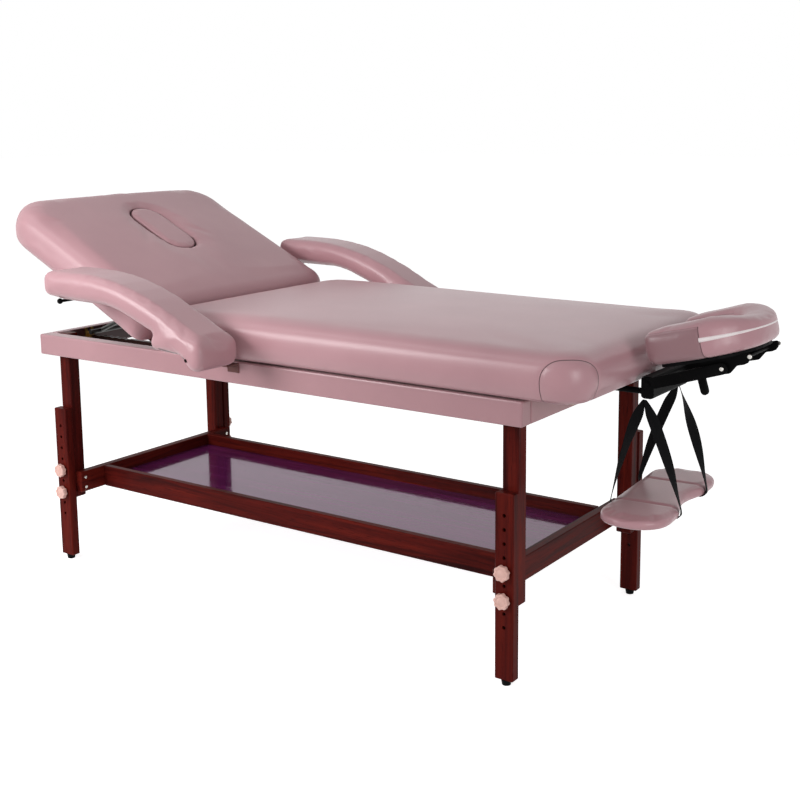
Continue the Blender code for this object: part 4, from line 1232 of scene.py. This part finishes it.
@dataclass
class ArmSling:
    """The bean-shaped arm pad that hangs in two webbing loops from the cradle's base."""

    stuffing: Stuffing = Stuffing(cell=0.004, rounds=14, shrink=-0.0003, swell=0.0025, fill=0.6)
    middle_x: float = 0.7889
    top_z: float = 0.6329
    pad_z: float = 0.385
    pad_half: float = 0.012
    half_width: float = 0.080
    strap_y: float = 0.093
    strap_width: float = 0.026
    tip_width: float = 0.011
    thickness: float = 0.0017
    crease: float = 0.0032
    yaw: float = 4.5
    top_gap: float = 0.0020
    top_gather: float = 0.22
    gather_share: float = 0.13
    top_apart: float = 0.002
    edge_gap: float = 0.002
    bow: float = 0.006
    taper_start: float = 0.35
    taper_power: float = 1.5
    held_depth: float = 0.008

    def turned(self, piece: Piece) -> Piece:
        """Lets a piece hang turned a little about the middle of the pad, the more the lower it is."""
        centre = Vector((self.middle_x, 0.0, 0.0))
        for vert in piece.data.vertices:
            share = clamped((self.top_z - vert.co.z) / (self.top_z - self.pad_z - self.pad_half))
            vert.co = Matrix.Rotation(math.radians(self.yaw) * share, 3, "Z") @ (vert.co - centre) + centre
        piece.data.update()
        return piece

    def crease_depth(self, point: Vector, normal: Vector) -> float:
        """How deep the straps' pull creases the top of the pad."""
        if normal.z < 0.2:
            return 0.0
        return self.crease * ridge(abs(point.y) - self.strap_y, 0.006)

    def leg(self, forward: int, turns: Sequence[float]) -> list[tuple[Vector, float, float]]:
        """The stations of one leg of a loop, from the base down to the pad's edge.

        Args:
            forward: 1 for the leg on the cradle's side of the pad, -1 for the other.
            turns: The way that the strap's width looks at the top, middle and end, in degrees from +X.

        Returns:
            Place, width and turn of each station, as seen from the strap's own plane.
        """
        steps = 14
        start = Vector((forward * self.top_apart, 0.0, self.top_z - self.top_gap))
        stop = Vector((forward * (self.half_width + self.edge_gap), 0.0, self.pad_z + self.pad_half * 0.6))
        stations = []
        for step in range(steps + 1):
            share = step / steps
            place = start.lerp(stop, share)
            place.x += forward * self.bow * math.sin(math.pi * share)
            low, high = (turns[0], turns[1]) if share < 0.5 else (turns[1], turns[2])
            part = (share % 0.5) * 2 if share < 1 else 1.0
            ease = part * part * (3 - 2 * part)
            taper = max(0.0, (share - self.taper_start) / (1 - self.taper_start)) ** self.taper_power
            width = self.strap_width + (self.tip_width - self.strap_width) * taper
            gather = min(1.0, self.top_gather + (1 - self.top_gather) * share / self.gather_share)
            stations.append((place, width * gather, low + (high - low) * ease))
        return stations

    def loop(self, side: Side, fore: Sequence[float], aft: Sequence[float]) -> Piece:
        """Makes one webbing loop: down the fore leg, under the pad, and up the aft leg.

        Args:
            side: The side of the table.
            fore: The turns of the leg on the cradle's side.
            aft: The turns of the other leg.

        Returns:
            The strap.
        """
        under = self.pad_z - self.pad_half - self.thickness * 0.7
        edge = self.half_width + 0.0025
        end = 90.0 if fore[2] > 0 else -90.0
        corner = [(edge, self.pad_z - 0.004, 0.014), (edge - 0.006, under + 0.003, 0.018),
                  (edge - 0.016, under, 0.022)]
        turned_under = corner + [(0.0, under, 0.024)] + [(-x, z, width) for x, z, width in reversed(corner)]
        path = self.leg(1, fore)
        path.extend((Vector((x, 0.0, z)), width, end) for x, z, width in turned_under)
        flip = 180.0 if aft[2] * end < 0 else 0.0
        path.extend((place, width, turn + flip) for place, width, turn in reversed(self.leg(-1, aft)))
        return self.ribbon("sling_webbing_" + side.label, path, side.value * self.strap_y)

    def ribbon(self, name: str, path: Sequence[tuple[Vector, float, float]], y: float) -> Piece:
        """Lays a flat ribbon along a path, with its length and width as its map in metres.

        Args:
            name: The piece's name.
            path: Place, width and turn of each station.
            y: The plane of the path.

        Returns:
            The ribbon.
        """
        bpy.ops.object.select_all(action="DESELECT")
        columns = 4
        bpy.ops.mesh.primitive_grid_add(x_subdivisions=columns, y_subdivisions=len(path) - 1, size=2.0,
                                        calc_uvs=False)
        strap = settle(bpy.context.active_object, name)
        run = [0.0]
        for (first, _, _), (second, _, _) in zip(path, path[1:]):
            run.append(run[-1] + (second - first).length)
        places = {}
        for vert in strap.data.vertices:
            row = round((vert.co.y + 1) / 2 * (len(path) - 1))
            share = vert.co.x / 2
            place, width, turn = path[row]
            across = Vector((math.cos(math.radians(turn)), math.sin(math.radians(turn)), 0.0))
            places[vert.index] = (share * width, run[row])
            vert.co = Vector((self.middle_x + place.x, y, place.z)) + across * share * width
        layer = strap.data.uv_layers.new(name="weave")
        for loop in strap.data.loops:
            layer.data[loop.index].uv = places[loop.vertex_index]
        apply_modifier(strap, "SUBSURF", levels=1, render_levels=1)
        apply_modifier(strap, "SOLIDIFY", thickness=self.thickness, offset=0.0)
        smooth(strap, 50)
        return strap

    def build(self, finishes: Finishes) -> None:
        """Makes the pad and the two loops."""
        pad = pad_from("sling_pad", "sling_cushion", self.stuffing,
                       lambda point: point.z < self.pad_z - self.held_depth)
        press(pad, self.crease_depth)
        upholster(self.turned(pad), "sling", finishes.vinyl, "sling_pad")
        for side, fore, aft in ((Side.NEAR, (20.0, 45.0, 105.0), (5.0, 72.0, 108.0)),
                                (Side.FAR, (122.0, 40.0, 100.0), (15.0, 5.0, -35.0))):
            strap = self.turned(self.loop(side, fore, aft))
            put(strap, "sling", finishes.webbing, ["sling_strap_" + side.label])


@dataclass
class Studio:
    """The pale floor, the soft lights and the camera."""

    eye: Point = (1.8930, -2.5797, 1.2564)
    yaw: float = math.radians(-35.271)
    pitch: float = math.radians(-9.423)
    roll: float = math.radians(-0.594)
    lens: float = 56.09
    rise: float = -0.1
    floor_size: float = 60.0
    ambient: float = 0.32
    floor_glow: float = 0.80

    def build(self) -> None:
        """Makes the camera, the lamps, the world and the floor."""
        self.camera()
        self.lamp("front_left_softbox", (-1.4, -2.3, 1.5), (-0.45, -0.4, 0.62), 1.2, 1.2, 10.5, 75.0)
        self.lamp("upper_strip", (-1.3, -1.1, 2.5), (-1.3, -0.35, 0.75), 2.2, 0.35, 5.5, 130.0)
        self.lamp("right_softbox", (3.0, -1.5, 1.1), (0.6, -0.1, 0.6), 1.2, 1.2, 12.0, 120.0)
        self.world()
        self.floor()

    def camera(self) -> None:
        """Places the camera where the picture was taken from."""
        flat = math.cos(self.pitch)
        ahead = Vector((math.sin(self.yaw) * flat, math.cos(self.yaw) * flat, math.sin(self.pitch)))
        level = Vector((math.cos(self.yaw), -math.sin(self.yaw), 0.0))
        right = math.cos(self.roll) * level + math.sin(self.roll) * level.cross(ahead)
        up = right.cross(ahead)
        data = bpy.data.cameras.new("camera")
        data.lens, data.sensor_width, data.shift_y = self.lens, 36.0, self.rise
        camera = bpy.data.objects.new("camera", data)
        turn = Matrix((right, up, -ahead)).transposed().to_4x4()
        camera.matrix_world = Matrix.Translation(self.eye) @ turn
        bpy.context.scene.collection.objects.link(camera)
        bpy.context.scene.camera = camera
        bpy.context.scene.view_settings.view_transform = "Standard"

    def lamp(self, name: str, place: Point, target: Point, width: float, height: float, power: float,
             spread: float) -> None:
        """Hangs one soft lamp.

        Args:
            name: The lamp's name.
            place: Where it hangs.
            target: What it looks at.
            width: Its width.
            height: Its height.
            power: Its power in watts.
            spread: The angle of its beam in degrees.
        """
        data = bpy.data.lights.new(name, "AREA")
        data.shape, data.size, data.size_y, data.energy = "RECTANGLE", width, height, power
        data.spread = math.radians(spread)
        lamp = bpy.data.objects.new(name, data)
        lamp.location = place
        lamp.rotation_euler = (Vector(target) - Vector(place)).to_track_quat("-Z", "Y").to_euler()
        bpy.context.scene.collection.objects.link(lamp)

    @staticmethod
    def shown(tree: bpy.types.NodeTree, rays: Sequence[str], low: float, high: float) -> Socket:
        """Gives some kinds of ray one level and all others another.

        Args:
            tree: The node tree to add to.
            rays: The Light Path outputs that get the high level.
            low: The level for all other rays.
            high: The level for these rays.

        Returns:
            The level.
        """
        path = tree.nodes.new("ShaderNodeLightPath")
        seen = path.outputs[rays[0]]
        for ray in rays[1:]:
            either = tree.nodes.new("ShaderNodeMath")
            either.operation = "MAXIMUM"
            tree.links.new(seen, either.inputs[0])
            tree.links.new(path.outputs[ray], either.inputs[1])
            seen = either.outputs[0]
        level = tree.nodes.new("ShaderNodeMapRange")
        level.inputs["To Min"].default_value = low
        level.inputs["To Max"].default_value = high
        tree.links.new(seen, level.inputs["Value"])
        return level.outputs["Result"]

    def world(self) -> None:
        """Lights the room softly, and shows it white to the eye and in reflections."""
        world = bpy.data.worlds.new("white_room")
        bpy.context.scene.world = world
        world.use_nodes = True
        tree = world.node_tree
        back = tree.nodes["Background"]
        back.inputs["Color"].default_value = (1.0, 1.0, 1.0, 1.0)
        rays = ("Is Camera Ray", "Is Glossy Ray", "Is Transmission Ray")
        tree.links.new(self.shown(tree, rays, self.ambient, 1.0), back.inputs["Strength"])

    def floor(self) -> None:
        """Lays the white floor, which keeps the table's soft shadow."""
        bpy.ops.object.select_all(action="DESELECT")
        bpy.ops.mesh.primitive_plane_add(size=self.floor_size, location=(0, 0, 0))
        floor = settle(bpy.context.active_object, "studio_floor")
        material = bpy.data.materials.new("white_floor")
        material.use_nodes = True
        tree = material.node_tree
        shader = tree.nodes["Principled BSDF"]
        shader.inputs["Base Color"].default_value = (0.86, 0.86, 0.86, 1.0)
        shader.inputs["Roughness"].default_value = 0.9
        shader.inputs["Specular IOR Level"].default_value = 0.0
        shader.inputs["Emission Color"].default_value = (1.0, 1.0, 1.0, 1.0)
        glow = self.shown(tree, ("Is Camera Ray", "Is Glossy Ray"), 0.0, self.floor_glow)
        tree.links.new(glow, shader.inputs["Emission Strength"])
        dress(floor, material)


def main() -> None:
    """Builds the studio and the table's sub-assemblies in order."""
    logging.basicConfig(level=logging.INFO, format="%(message)s")
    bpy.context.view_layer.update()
    Studio().build()
    finishes = Finishes()
    Apron().build(finishes)
    MainTop().build(finishes)
    LiftBack().build(finishes)
    PropGear().build(finishes)
    knob, bolt = StarKnob().model(), Bolt().model()
    for side in Side:
        PaddedArm(side).build(finishes, bolt)
    for end in ("back", "head"):
        for side in Side:
            Leg(end, side).build(finishes, knob)
    Shelf().build(finishes, bolt)
    FaceCradle().build(finishes, bolt)
    ArmSling().build(finishes)
    for model in (knob, bolt):
        bpy.data.objects.remove(model)


if __name__ == "__main__":
    main()
